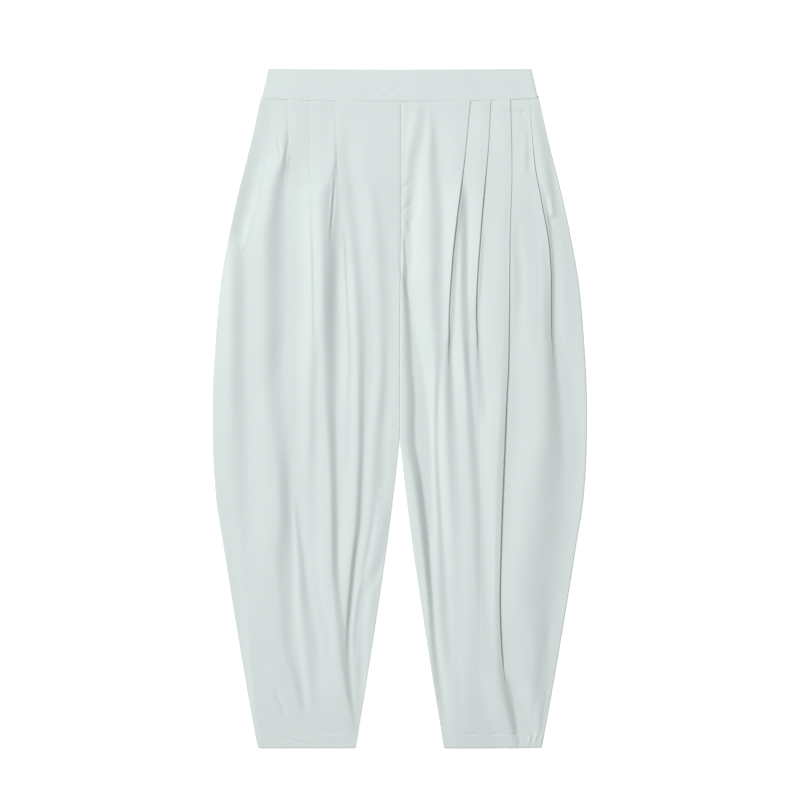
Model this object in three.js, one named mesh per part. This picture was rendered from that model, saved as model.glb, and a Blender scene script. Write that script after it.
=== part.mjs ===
// Harem trousers with a straight waistband and three reverse knife pleats a side, laid flat on
// their back. Millimetres. +Z is up, +Y runs to the waist, +X to the wearer's left leg, and the
// origin is on the ground under the middle of the outline.
// Each cut piece is one wall of cloth, swept down the garment through cross sections. A section
// is worked out from the outline, the seams, the pleats and the soft folds at its height.
import * as THREE from "three";

// Sizes of the cloth and of how it lies
const WALL = 1.1; // one layer of crepe
const BAND_WALL = 2; // the doubled and faced waistband
const SEAM_GAP = 0.3; // between two pieces at a seam
const LEAST_BEND = 0.7; // tightest radius of a wall's middle
const LEAST_LAP = 0.2; // least cloth between the two turns of a pleat
const PLEAT_CLEAR = 1.6; // from a pleat's turn to the next column of the section
const LAP_CLEAR = 0.6; // the same beyond the cloth that is hidden under it
const EDGE_SPARE = 1.2; // between a leg's inmost columns, where they aren't rolled
const SOFTNESS = 0.25; // how gently the cloth settles where a fold would take it below the ground layer

// Sizes of the garment
const TOP = 481.7; // top of the waistband at its sides
const HEM = -481.7;
const TOP_DIP = 1.4; // how far the waistband's top sinks at the centre
const WAIST_HALF = 185.6; // half the waistband's top, laid flat
const SEAM_HALF = 195; // half the waist seam, laid flat
const SEAM_Y = 436.6; // waist seam at the centre
const SEAM_RISE = 4.3; // how much higher the waist seam is at the sides
const SEAM_CURVE = 3; // power of the waist seam's curve
const SEAM_BEND_FADES = 110; // below the seam, where its curve has gone out of the sections
const BAND_LIFT = 4.2; // middle of the waistband's front wall above the ground
const CROTCH = 200; // where the two legs part, as tubes that still touch
const LEGS_OPEN = -38; // where daylight shows between them
const LEG_GAP_HALF = 62.5; // half the gap between the legs at the hem
const LEG_GAP_CURVE = 1.2; // how the gap grows towards the hem
const TURN_LENGTH = 34; // length over which a leg's inner edge rolls from flat to folded
const FRONT_LOW = 2.0; // middle of a front's lowest layer above the ground
const WAIST_LIFT = 3.5; // middle of the fronts at the centre seam, at the waist
const CENTRE_SEAM_LIFT = 3.7; // the same further down
const CENTRE_SEAM_EASE = 70; // length over which it goes from one to the other
const SIDE_SEAM_BASE = 3.1; // middle of the fronts at the side seam, before the soft folds
const INSEAM_LIFT = 2.6; // where front and back meet at a leg's inner fold
const INSIDE_LEAST = 3.6; // middle of a front beside that fold, where the leg is flattest
const FULL_LOFT = 4; // loft from which it is as high as a leg's own size says
const POCKET_WALL = 1;
const POCKET_UNDER_FRONT = 11; // how far the pocket facing reaches under the front
const POCKET_UNDER_BACK = 5; // and under the wrapped back piece
const POCKET_CLEAR = 1.5; // from its edge to the outer fold
const POCKET_GAPE = 1.3; // how far the pocket's mouth stands open at its middle
const POCKET_LENGTH = 190;

// Heights of the cross sections, from the waist seam to the hem
const SECTIONS = [
  SEAM_Y, 412, 380, 344, 308, 270, 236, 210, 190, 152, 108, 55, 1, -38, -86, -136, -190, -245, -300,
  -350, -400, -445, HEM,
];

// Half width of the trousers to the outer fold
const OUTLINE = [
  { y: 481.7, x: 185.6 },
  { y: 440, x: 196.5 },
  { y: 308, x: 227.9 },
  { y: 171, x: 254.2 },
  { y: 103, x: 260.6 },
  { y: 35, x: 264.8 },
  { y: 1, x: 265.5 },
  { y: -56, x: 264.8 },
  { y: -124, x: 260.6 },
  { y: -192, x: 250.6 },
  { y: -328, x: 228.6 },
  { y: -465, x: 204.5 },
  { y: -481.7, x: 201 },
];

// Middle radius of each outer fold, and how far the front lifts off the back
const PUFF = [
  { y: 440, rightFold: 1.8, leftFold: 1.8, loft: 0.1 },
  { y: 400, rightFold: 2, leftFold: 1.8, loft: 1.1 },
  { y: 353, rightFold: 2.1, leftFold: 1.8, loft: 2.4 },
  { y: 290, rightFold: 2.3, leftFold: 1.7, loft: 3.6 },
  { y: 200, rightFold: 2.4, leftFold: 1.4, loft: 4.2 },
  { y: -300, rightFold: 2.4, leftFold: 1.4, loft: 4 },
  { y: -399, rightFold: 2, leftFold: 1.3, loft: 3 },
  { y: -440, rightFold: 1.7, leftFold: 1.2, loft: 2 },
  { y: -481.7, rightFold: 1.4, leftFold: 1.2, loft: 1 },
];

// A pleat's row gives its visible edge's distance from the centre line, the cloth hidden under it,
// how far round the cloth turns there, and how far it steps down. 180 degrees is a flat pleat, and
// less is the soft step that the pleat releases into.
// A soft fold is a fall of the cloth towards the wearer's left, which levels out over its reach on
// both sides. Its row gives its middle, its half width and its step.
const LEFT_LEG = {
  side: 1,
  fold: "leftFold",
  tilt: 0.8, // how much more the front lifts at the centre than at the outer fold
  inside: 6.2, // middle of the front beside the leg's inner fold
  sideSeam: [
    { y: 437, x: 184 },
    { y: 397, x: 187.4 },
    { y: 345, x: 192.7 },
    { y: 296, x: 201.6 },
    { y: 227, x: 213.3 },
    { y: 183, x: 215.8 },
    { y: 83, x: 217 },
    { y: -30, x: 224.4 },
    { y: -87, x: 225.2 },
    { y: -158, x: 215.8 },
    { y: -259, x: 205.9 },
    { y: -357, x: 204 },
    { y: -481.7, x: 194.5 },
  ],
  pleats: [
    [
      { y: 437, x: 100.3, lap: 13, turn: 180, drop: 2.9 },
      { y: 353, x: 91.3, lap: 12, turn: 180, drop: 2.9 },
      { y: 267, x: 80.1, lap: 10, turn: 180, drop: 2.9 },
      { y: 208, x: 73.8, lap: 8, turn: 180, drop: 2.9 },
      { y: 152, x: 70.5, lap: 5, turn: 180, drop: 2.9 },
      { y: 108, x: 69, lap: 0.3, turn: 90, drop: 1.8 },
      { y: 55, x: 69, lap: 0.3, turn: 7, drop: 0.1 },
      { y: -481.7, x: 85, lap: 0.3, turn: 7, drop: 0.05 },
    ],
    [
      { y: 437, x: 128.6, lap: 13, turn: 180, drop: 2.9 },
      { y: 382, x: 125.8, lap: 12, turn: 180, drop: 2.9 },
      { y: 312, x: 119.7, lap: 11, turn: 180, drop: 2.9 },
      { y: 252, x: 114.6, lap: 9, turn: 180, drop: 2.9 },
      { y: 152, x: 108.8, lap: 5, turn: 180, drop: 2.9 },
      { y: 108, x: 109.5, lap: 0.3, turn: 90, drop: 1.8 },
      { y: 55, x: 113, lap: 0.3, turn: 7, drop: 0.1 },
      { y: -128, x: 127, lap: 0.3, turn: 7, drop: 0.05 },
      { y: -300, x: 129, lap: 0.3, turn: 7, drop: 0.05 },
      { y: -481.7, x: 145, lap: 0.3, turn: 7, drop: 0.05 },
    ],
    [
      { y: 437, x: 155.8, lap: 13, turn: 180, drop: 2.9 },
      { y: 394, x: 157.6, lap: 12, turn: 180, drop: 2.9 },
      { y: 332, x: 158.2, lap: 11, turn: 180, drop: 2.9 },
      { y: 241, x: 155.2, lap: 9, turn: 180, drop: 2.9 },
      { y: 69, x: 153.2, lap: 6, turn: 180, drop: 2.9 },
      { y: -44, x: 149, lap: 6, turn: 180, drop: 2.9 },
      { y: -178, x: 144, lap: 6, turn: 180, drop: 2.9 },
      { y: -272, x: 142, lap: 6, turn: 180, drop: 2.9 },
      { y: -350, x: 145, lap: 3, turn: 180, drop: 2.9 },
      { y: -400, x: 151.5, lap: 0.3, turn: 90, drop: 2 },
      { y: -445, x: 160, lap: 0.3, turn: 50, drop: 1 },
      { y: -481.7, x: 168, lap: 0.3, turn: 30, drop: 0.5 },
    ],
  ],
  falls: [
    // drag line from under the waistband, then the deep valley beside the leg's inner edge
    {
      reach: 30,
      rows: [
        { y: 433, x: 30.5, half: 5.5, step: 0.3 },
        { y: 396, x: 27, half: 8, step: 1.7 },
        { y: 353, x: 18.5, half: 8.5, step: 2.2 },
        { y: 296, x: 13, half: 8.5, step: 2.2 },
        { y: 261, x: 7, half: 5.5, step: 1.2 },
        { y: 225, x: 6, half: 3.5, step: 1.4 },
        { y: 183, x: 8.5, half: 5, step: 3.4 },
        { y: 126, x: 11.5, half: 7, step: 5.4 },
        { y: 69, x: 14.5, half: 10, step: 6.6 },
        { y: 12, x: 17, half: 11.5, step: 7.6 },
        { y: -44, x: 18, half: 10.5, step: 8.4 },
        { y: -101, x: 25.5, half: 8, step: 8.2 },
        { y: -158, x: 33.5, half: 7, step: 7.6 },
        { y: -215, x: 39, half: 6.5, step: 6.8 },
        { y: -272, x: 43.5, half: 5.5, step: 5 },
        { y: -328, x: 47.5, half: 5.5, step: 3.8 },
        { y: -399, x: 56, half: 6.5, step: 2.8 },
        { y: -459, x: 64.5, half: 5.5, step: 0 },
      ],
    },
    // long valley down the front of the leg
    {
      reach: 30,
      rows: [
        { y: 433, x: 44.5, half: 3, step: 0 },
        { y: 396, x: 47, half: 5, step: 1.4 },
        { y: 353, x: 48.5, half: 8.5, step: 2.7 },
        { y: 296, x: 51, half: 10.5, step: 3.8 },
        { y: 240, x: 53, half: 13, step: 4.8 },
        { y: 126, x: 54, half: 10.5, step: 4.6 },
        { y: 69, x: 54, half: 7, step: 4 },
        { y: 12, x: 53, half: 5, step: 2.9 },
        { y: -101, x: 54, half: 5, step: 2.6 },
        { y: -215, x: 59.5, half: 7, step: 3.4 },
        { y: -272, x: 62, half: 8, step: 3.6 },
        { y: -328, x: 64.5, half: 8.5, step: 2.8 },
        { y: -388, x: 70.5, half: 5.5, step: 0 },
      ],
    },
    // beyond the inner pleat, and where it opens
    {
      reach: 22,
      rows: [
        { y: 311, x: 89, half: 3, step: 0 },
        { y: 240, x: 82, half: 4.5, step: 2 },
        { y: 183, x: 78, half: 5.5, step: 3.2 },
        { y: 91, x: 71, half: 5.5, step: 3.4 },
        { y: 12, x: 71, half: 8, step: 4.2 },
        { y: -44, x: 72.5, half: 10, step: 3.3 },
        { y: -158, x: 80, half: 10, step: 1.8 },
        { y: -328, x: 89, half: 8.5, step: 0 },
      ],
    },
    // between the inner and middle pleats
    {
      reach: 26,
      rows: [
        { y: 328, x: 90, half: 3.5, step: 0 },
        { y: 296, x: 91.5, half: 6.5, step: 3.2 },
        { y: 240, x: 91.5, half: 7, step: 5.2 },
        { y: 126, x: 92.5, half: 8, step: 5.8 },
        { y: 12, x: 98.5, half: 6.5, step: 3.6 },
        { y: -101, x: 107, half: 9, step: 3.2 },
        { y: -158, x: 111.5, half: 10, step: 3.5 },
        { y: -272, x: 117, half: 10, step: 2.6 },
        { y: -385, x: 127, half: 10, step: 0 },
      ],
    },
    // slope down to the outer pleat
    {
      reach: 30,
      rows: [
        { y: 325, x: 151, half: 3, step: 0 },
        { y: 240, x: 151, half: 3.5, step: 0.8 },
        { y: 126, x: 151, half: 4.5, step: 1.2 },
        { y: -44, x: 145, half: 5.5, step: 1.5 },
        { y: -158, x: 139.5, half: 5.5, step: 1.5 },
        { y: -272, x: 139, half: 3.5, step: 1.2 },
        { y: -328, x: 140, half: 4.5, step: 1.2 },
        { y: -399, x: 148.5, half: 8, step: 3 },
        { y: -477, x: 165.5, half: 5.5, step: 0.5 },
      ],
    },
    // broad valley along the side seam
    {
      reach: 40,
      rows: [
        { y: 261, x: 201, half: 4.5, step: 0 },
        { y: 183, x: 208.5, half: 6.5, step: 2 },
        { y: 126, x: 209.5, half: 8.5, step: 3.8 },
        { y: 69, x: 213.5, half: 11.5, step: 5.6 },
        { y: 12, x: 217.5, half: 15, step: 6.8 },
        { y: -44, x: 218.5, half: 18, step: 6.8 },
        { y: -101, x: 215, half: 22.5, step: 6.4 },
        { y: -215, x: 206.5, half: 25.5, step: 5 },
        { y: -272, x: 201, half: 22.5, step: 4.6 },
        { y: -328, x: 204, half: 15.5, step: 4.4 },
        { y: -399, x: 201, half: 11.5, step: 3.4 },
        { y: -477, x: 195, half: 10, step: 0.8 },
      ],
    },
  ],
  // for each stretch between pleats: the falls that its columns follow, and the steps from one such
  // column to the next
  columns: [
    { follow: [0, 1], steps: 2 },
    { follow: [2, 3], steps: 1 },
    { follow: [4], steps: 2 },
    { follow: [5], steps: 2 },
  ],
};

const RIGHT_LEG = {
  side: -1,
  fold: "rightFold",
  tilt: 0.4,
  inside: 3.8,
  sideSeam: [
    { y: 437, x: 177 },
    { y: 423, x: 182.5 },
    { y: 367, x: 188.9 },
    { y: 291, x: 200.9 },
    { y: 248, x: 212 },
    { y: 221, x: 221 },
    { y: 112, x: 221.5 },
    { y: 41, x: 218.7 },
    { y: -51, x: 217.3 },
    { y: -130, x: 214.4 },
    { y: -272, x: 213 },
    { y: -400, x: 206 },
    { y: -481.7, x: 194.5 },
  ],
  pleats: [
    [
      { y: 437, x: 92, lap: 13, turn: 180, drop: 2.9 },
      { y: 396, x: 89.5, lap: 12, turn: 180, drop: 2.9 },
      { y: 353, x: 87.5, lap: 11, turn: 180, drop: 2.9 },
      { y: 296, x: 84, lap: 8, turn: 180, drop: 2.9 },
      { y: 236, x: 80, lap: 3, turn: 180, drop: 2.9 },
      { y: 210, x: 78.5, lap: 0.3, turn: 90, drop: 1.8 },
      { y: 190, x: 77.5, lap: 0.3, turn: 7, drop: 0.1 },
      { y: -481.7, x: 79, lap: 0.3, turn: 7, drop: 0.05 },
    ],
    [
      { y: 437, x: 125.8, lap: 13, turn: 180, drop: 2.9 },
      { y: 353, x: 126, lap: 12, turn: 180, drop: 2.9 },
      { y: 296, x: 124.2, lap: 9, turn: 180, drop: 2.9 },
      { y: 240, x: 122.6, lap: 8, turn: 180, drop: 2.9 },
      { y: 152, x: 121, lap: 3, turn: 180, drop: 2.9 },
      { y: 108, x: 121, lap: 0.3, turn: 90, drop: 1.8 },
      { y: 55, x: 121, lap: 0.3, turn: 7, drop: 0.1 },
      { y: -481.7, x: 106, lap: 0.3, turn: 7, drop: 0.05 },
    ],
    [
      { y: 437, x: 157.6, lap: 13, turn: 180, drop: 2.9 },
      { y: 380, x: 156.8, lap: 9, turn: 180, drop: 2.9 },
      { y: 344, x: 160, lap: 2, turn: 180, drop: 2.9 },
      { y: 308, x: 161.5, lap: 0.3, turn: 60, drop: 1.2 },
      { y: 270, x: 161.5, lap: 0.3, turn: 7, drop: 0.1 },
      { y: 126, x: 158, lap: 0.3, turn: 7, drop: 0.05 },
      { y: -44, x: 155, lap: 0.3, turn: 7, drop: 0.05 },
      { y: -158, x: 148, lap: 0.3, turn: 7, drop: 0.05 },
      { y: -272, x: 146, lap: 0.3, turn: 7, drop: 0.05 },
      { y: -399, x: 130, lap: 0.3, turn: 7, drop: 0.05 },
      { y: -481.7, x: 120, lap: 0.3, turn: 7, drop: 0.05 },
    ],
  ],
  falls: [
    // beside the centre seam, then across to the inner valley
    {
      reach: 14,
      rows: [
        { y: 318, x: 37.5, half: 4.5, step: 0 },
        { y: 240, x: 27, half: 8.5, step: 1 },
        { y: 126, x: 21.5, half: 8, step: 1.3 },
        { y: 12, x: 25, half: 6.5, step: 1.9 },
        { y: -101, x: 32.5, half: 8.5, step: 2.2 },
        { y: -158, x: 38.5, half: 5.5, step: 1.9 },
        { y: -215, x: 48.5, half: 5, step: 1.7 },
        { y: -272, x: 58, half: 4.5, step: 1.9 },
        { y: -364, x: 64.5, half: 3, step: 0 },
      ],
    },
    // narrow valley that starts under the waistband
    {
      reach: 24,
      rows: [
        { y: 421, x: 81.5, half: 4.5, step: 0 },
        { y: 353, x: 77.5, half: 6.5, step: 1 },
        { y: 296, x: 69.5, half: 8, step: 1.9 },
        { y: 240, x: 64, half: 9, step: 2.2 },
        { y: 126, x: 56, half: 8, step: 2.6 },
        { y: -44, x: 54.5, half: 5.5, step: 3.3 },
        { y: -101, x: 56, half: 5.5, step: 3.9 },
        { y: -158, x: 58.5, half: 5.5, step: 4.3 },
        { y: -215, x: 65, half: 4.5, step: 4.7 },
        { y: -272, x: 70.5, half: 4.5, step: 4.8 },
        { y: -321, x: 74, half: 3.5, step: 2.6 },
        { y: -364, x: 74, half: 3.5, step: 0 },
      ],
    },
    // deep valley down to the inner pleat, which goes on to the hem
    {
      reach: 40,
      rows: [
        { y: 382, x: 89, half: 3, step: 0 },
        { y: 353, x: 90, half: 3.5, step: 1.8 },
        { y: 296, x: 93, half: 12, step: 3.4 },
        { y: 240, x: 98.5, half: 13.5, step: 6.4 },
        { y: 169, x: 98.5, half: 13.5, step: 7.4 },
        { y: 119, x: 99, half: 13, step: 7.2 },
        { y: 69, x: 98.5, half: 11.5, step: 6 },
        { y: -44, x: 95.5, half: 8, step: 4.6 },
        { y: -158, x: 92.5, half: 6.5, step: 4.2 },
        { y: -215, x: 91.5, half: 6.5, step: 4.2 },
        { y: -272, x: 88, half: 7, step: 4 },
        { y: -328, x: 81.5, half: 8.5, step: 3.8 },
        { y: -399, x: 72.5, half: 6.5, step: 3.8 },
        { y: -468, x: 62, half: 4.5, step: 0 },
      ],
    },
    // beyond the ridge that runs down from it
    {
      reach: 26,
      rows: [
        { y: -122, x: 150, half: 2, step: 0 },
        { y: -215, x: 139, half: 5.5, step: 1.8 },
        { y: -272, x: 133, half: 8.5, step: 2.8 },
        { y: -328, x: 127, half: 9, step: 2.6 },
        { y: -399, x: 118.5, half: 10, step: 0.8 },
        { y: -442, x: 113, half: 10, step: 0 },
      ],
    },
    // broad valley down to the outer pleat, which goes on below it
    {
      reach: 48,
      rows: [
        { y: 404, x: 157, half: 3.5, step: 0 },
        { y: 353, x: 162, half: 7, step: 4 },
        { y: 296, x: 174, half: 14, step: 4.8 },
        { y: 240, x: 175.5, half: 18.5, step: 5.4 },
        { y: 126, x: 175.5, half: 18.5, step: 5 },
        { y: 12, x: 177, half: 15.5, step: 2.8 },
        { y: -44, x: 168.5, half: 14, step: 3.2 },
        { y: -101, x: 163.5, half: 10.5, step: 4.4 },
        { y: -158, x: 162, half: 11.5, step: 5 },
        { y: -215, x: 164.5, half: 13.5, step: 4.4 },
        { y: -328, x: 160, half: 9, step: 2 },
        { y: -399, x: 143.5, half: 6.5, step: 1.5 },
        { y: -445, x: 135.5, half: 5.5, step: 0 },
      ],
    },
    // beside the outer fold
    {
      reach: 34,
      rows: [
        { y: 413, x: 189.5, half: 7, step: 0 },
        { y: 353, x: 208, half: 13, step: 3 },
        { y: 296, x: 221.5, half: 13.5, step: 3.6 },
        { y: 240, x: 231, half: 10, step: 3 },
        { y: 41, x: 230, half: 13, step: 2.8 },
        { y: -44, x: 227, half: 13, step: 2.4 },
        { y: -130, x: 223.5, half: 10, step: 1.6 },
        { y: -272, x: 216.5, half: 7, step: 0 },
      ],
    },
  ],
  columns: [
    { follow: [0, 1], steps: 2 },
    { follow: [2], steps: 2 },
    { follow: [3], steps: 2 },
    { follow: [4], steps: 2 },
  ],
};

// Value of one column of a table at height y: smooth between rows, level beyond its ends.
function valueAt(rows, column, y) {
  const last = rows.length - 1;
  if (y >= rows[0].y) return rows[0][column];
  if (y <= rows[last].y) return rows[last][column];
  const i = rows.findIndex((row) => row.y < y) - 1;
  const slope = (k) => {
    const j = THREE.MathUtils.clamp(k, 0, last - 1);
    return (rows[j + 1][column] - rows[j][column]) / (rows[j + 1].y - rows[j].y);
  };
  // A tangent is the harmonic mean of the slopes on its two sides, so the curve never overshoots.
  const tangent = (k) => {
    const before = slope(k - 1);
    const after = slope(k);
    return before * after <= 0 ? 0 : (2 * before * after) / (before + after);
  };
  const span = rows[i + 1].y - rows[i].y;
  const t = (y - rows[i].y) / span;
  const rise = rows[i + 1][column] - rows[i][column];
  return (
    rows[i][column] +
    rise * t * t * (3 - 2 * t) +
    span * t * (1 - t) * (tangent(i) * (1 - t) - tangent(i + 1) * t)
  );
}

const smooth = THREE.MathUtils.smoothstep;
const radians = THREE.MathUtils.degToRad;
const outerEdge = (y) => valueAt(OUTLINE, "x", y);

function innerEdge(y) {
  const share = Math.max(0, LEGS_OPEN - y) / (LEGS_OPEN - HEM);
  return LEG_GAP_HALF * share ** LEG_GAP_CURVE;
}

// 0 where the leg's inner edge lies flat at the centre seam, 1 where it is folded as a tube
const turnAt = (y) => smooth(CROTCH + TURN_LENGTH / 2 - y, 0, TURN_LENGTH);

// The waist seam is a shallow curve, whose bend fades out of the sections below it.
function seamBend(x, y) {
  const fade = smooth(y, SEAM_Y - SEAM_BEND_FADES, SEAM_Y);
  return SEAM_RISE * Math.abs(x / SEAM_HALF) ** SEAM_CURVE * fade;
}

// A height that never goes below the layer that the cloth rests on, and settles gently on it
const settle = (height) => (height + Math.hypot(height, SOFTNESS)) / 2;

// How far the loft and the soft folds lift the cloth at a point
const WIDEST = Math.max(...OUTLINE.map((row) => row.x));
function lift(leg, x, y) {
  let sum = valueAt(PUFF, "loft", y) * (1 + leg.tilt * (0.5 - x / WIDEST));
  for (const { reach, rows } of leg.falls) {
    const beside = leg.side * (x - valueAt(rows, "x", y));
    const half = valueAt(rows, "half", y);
    const steep = Math.sin((Math.PI / 2) * THREE.MathUtils.clamp(beside / half, -1, 1));
    const left = 1 - smooth(Math.abs(beside) - half, 0, reach);
    sum -= (valueAt(rows, "step", y) / 2) * steep * left;
  }
  return settle(sum);
}

// The reverse pleat at height y, as points from the upper layer round both turns to the lower one.
const TURN_STEPS = 3;
function pleatAt(rows, y) {
  const turn = radians(valueAt(rows, "turn", y));
  const drop = valueAt(rows, "drop", y);
  const edge = valueAt(rows, "x", y);
  const down = 1 - Math.cos(turn);
  const flat = turn === Math.PI;
  const room = flat ? Infinity : (drop - 2 * LEAST_BEND * down) / Math.sin(turn);
  const lap = Math.max(LEAST_LAP, Math.min(valueAt(rows, "lap", y), room));
  const radius = (drop - (flat ? 0 : lap * Math.sin(turn))) / (2 * down);
  const start = edge - radius * (turn > Math.PI / 2 ? 1 : Math.sin(turn));
  const points = [];
  for (let k = 0; k <= TURN_STEPS; k++) {
    const a = (turn * k) / TURN_STEPS;
    points.push({ x: start + radius * Math.sin(a), z: drop - radius * (1 - Math.cos(a)) });
  }
  const end = start + 2 * radius * Math.sin(turn) + lap * Math.cos(turn);
  for (let k = TURN_STEPS; k >= 0; k--) {
    const a = (turn * k) / TURN_STEPS;
    points.push({ x: end - radius * Math.sin(a), z: radius * (1 - Math.cos(a)) });
  }
  const hidden = Math.max(0, -lap * Math.cos(turn));
  return { points, drop, start, hidden, after: Math.max(end, edge) };
}

// Points of a leg's inner edge, from the edge inwards. It rolls from its height to the end's height.
const EDGE_STEPS = 3;
function innerRoll(y, height, end) {
  const turn = turnAt(y);
  const angle = (turn * Math.PI) / 2;
  const radius = Math.abs(height - end);
  const way = Math.sign(height - end);
  const x = innerEdge(y) + SEAM_GAP / 2 + (WALL / 2) * Math.sin(angle);
  const points = [];
  for (let k = 0; k < EDGE_STEPS; k++) {
    const a = angle * (1 - k / EDGE_STEPS);
    points.push({
      x: x + radius * (Math.sin(angle) - Math.sin(a)) + (1 - turn) * EDGE_SPARE * k,
      z: height - way * radius * (1 - Math.cos(a)),
    });
  }
  const reach = x + radius * Math.sin(angle) + (1 - turn) * EDGE_SPARE * EDGE_STEPS;
  return { points, reach };
}

function spread(list, from, to, count) {
  for (let k = 1; k <= count; k++) list.push(from + ((to - from) * k) / count);
}

// Columns of one stretch of a section. One lies on each side of every fall that they follow.
const LEAST_SHARE = 0.5; // of an even share of the stretch, between two such columns
function stretch(from, to, y, falls, steps) {
  const marks = falls.flatMap(({ rows }) => {
    const x = valueAt(rows, "x", y);
    const half = valueAt(rows, "half", y);
    return [x - half, x + half];
  });
  const least = (LEAST_SHARE * (to - from)) / (marks.length + 1);
  const stops = [from];
  let last = from;
  marks.forEach((mark, k) => {
    const x = THREE.MathUtils.clamp(mark, last + least, to - least * (marks.length - k));
    spread(stops, last, x, steps);
    last = x;
  });
  spread(stops, last, to, steps);
  return stops;
}

function sideSeam(leg, y) {
  return valueAt(leg.sideSeam, "x", y);
}

// Half of the pocket mouth's opening at height y
function mouth(y) {
  const u = (SEAM_Y - y) / POCKET_LENGTH;
  return u > 0 && u < 1 ? POCKET_GAPE * Math.sin(Math.PI * u) ** 2 : 0;
}

// Middle line of a front leg at height y, from the centre to the side seam
const SEAM_EASE_SHARE = 0.4; // of the last stretch, over which the cloth comes to the seam's height
function frontSection(leg, y) {
  const pleats = leg.pleats.map((rows) => pleatAt(rows, y));
  const seam = sideSeam(leg, y) - SEAM_GAP / 2 - mouth(y);
  const turn = turnAt(y);
  const liftAt = (x) => lift(leg, x, y);
  const loft = Math.min(1, valueAt(PUFF, "loft", y) / FULL_LOFT);
  const folded = THREE.MathUtils.lerp(INSIDE_LEAST, leg.inside, loft);
  const settled = smooth(SEAM_Y - y, 0, CENTRE_SEAM_EASE);
  const seamLift = THREE.MathUtils.lerp(WAIST_LIFT, CENTRE_SEAM_LIFT, settled);
  const height = THREE.MathUtils.lerp(seamLift, folded, turn);
  const roll = innerRoll(y, height, INSEAM_LIFT + SEAM_GAP / 2);
  const section = [...roll.points];

  let start = roll.reach;
  let startHeight = height - FRONT_LOW - liftAt(start);
  for (let region = 0; region <= pleats.length; region++) {
    const pleat = pleats[region];
    const { steps, follow } = leg.columns[region];
    const end = pleat ? pleat.start - Math.max(pleat.hidden + LAP_CLEAR, PLEAT_CLEAR) : seam;
    const endHeight = pleat ? pleat.drop : SIDE_SEAM_BASE - FRONT_LOW;
    const falls = follow.map((index) => leg.falls[index]);
    for (const x of stretch(start, end, y, falls, steps)) {
      const share = (x - start) / (end - start);
      const eased = smooth(share, 0, pleat ? 1 : SEAM_EASE_SHARE);
      const z = startHeight * (1 - eased) + endHeight * (pleat ? share : eased);
      section.push({ x, z: FRONT_LOW + settle(z + liftAt(x)) });
    }
    if (!pleat) break;
    for (const point of pleat.points) {
      section.push({ x: point.x, z: FRONT_LOW + point.z + liftAt(point.x) });
    }
    start = pleat.after + PLEAT_CLEAR;
    startHeight = 0;
  }
  return section;
}

// Middle line of a back leg at height y: flat on the ground from the centre, round the outer fold
// and over the top as far as the side seam
const FOLD_STEPS = 6;
const GROUND_STEPS = 5;
const WRAP_STEPS = 5;
function backSection(leg, y) {
  const ground = WALL / 2;
  const roll = innerRoll(y, ground, INSEAM_LIFT - SEAM_GAP / 2);
  const section = [...roll.points];
  const radius = valueAt(PUFF, leg.fold, y);
  const centre = outerEdge(y) - WALL / 2 - radius;
  const across = [roll.reach];
  spread(across, roll.reach, centre, GROUND_STEPS);
  for (const x of across) section.push({ x, z: ground });
  for (let k = 1; k <= FOLD_STEPS; k++) {
    const a = (Math.PI * k) / FOLD_STEPS;
    section.push({ x: centre + radius * Math.sin(a), z: ground + radius * (1 - Math.cos(a)) });
  }
  const seam = sideSeam(leg, y) + SEAM_GAP / 2;
  const top = ground + 2 * radius;
  for (let k = 1; k <= WRAP_STEPS; k++) {
    const x = THREE.MathUtils.lerp(centre, seam, k / WRAP_STEPS);
    const share = smooth(k / WRAP_STEPS, 0, 1);
    const base = THREE.MathUtils.lerp(top - lift(leg, centre, y), SIDE_SEAM_BASE, share);
    section.push({ x, z: base + lift(leg, x, y) });
  }
  return section;
}

// Middle line of a pocket facing: a flat strip under the pocket's mouth
function pocketSection(leg, y) {
  const seam = sideSeam(leg, y);
  const outer = Math.min(seam + POCKET_UNDER_BACK, outerEdge(y) - WALL - POCKET_CLEAR);
  const z = WALL + SEAM_GAP + POCKET_WALL / 2;
  return [
    { x: seam - POCKET_UNDER_FRONT, z },
    { x: seam, z },
    { x: outer, z },
  ];
}

// Middle line of a waistband wall. The front one stands on the back one, and both roll at the sides.
const BAND_STEPS = 12;
function bandSection(half, height, end) {
  const radius = Math.abs(height - end);
  const way = Math.sign(height - end);
  const inside = half - BAND_WALL / 2 - radius;
  const section = [];
  for (let k = 0; k < EDGE_STEPS; k++) {
    const a = (Math.PI / 2) * (1 - k / EDGE_STEPS);
    section.push({ x: inside + radius * Math.sin(a), z: height - way * radius * (1 - Math.cos(a)) });
  }
  const flat = [];
  for (let k = 0; k <= BAND_STEPS; k++) {
    flat.push({ x: inside * (1 - (2 * k) / BAND_STEPS), z: height });
  }
  const mirrored = section.map(({ x, z }) => ({ x: -x, z })).reverse();
  return [...section, ...flat, ...mirrored];
}

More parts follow.
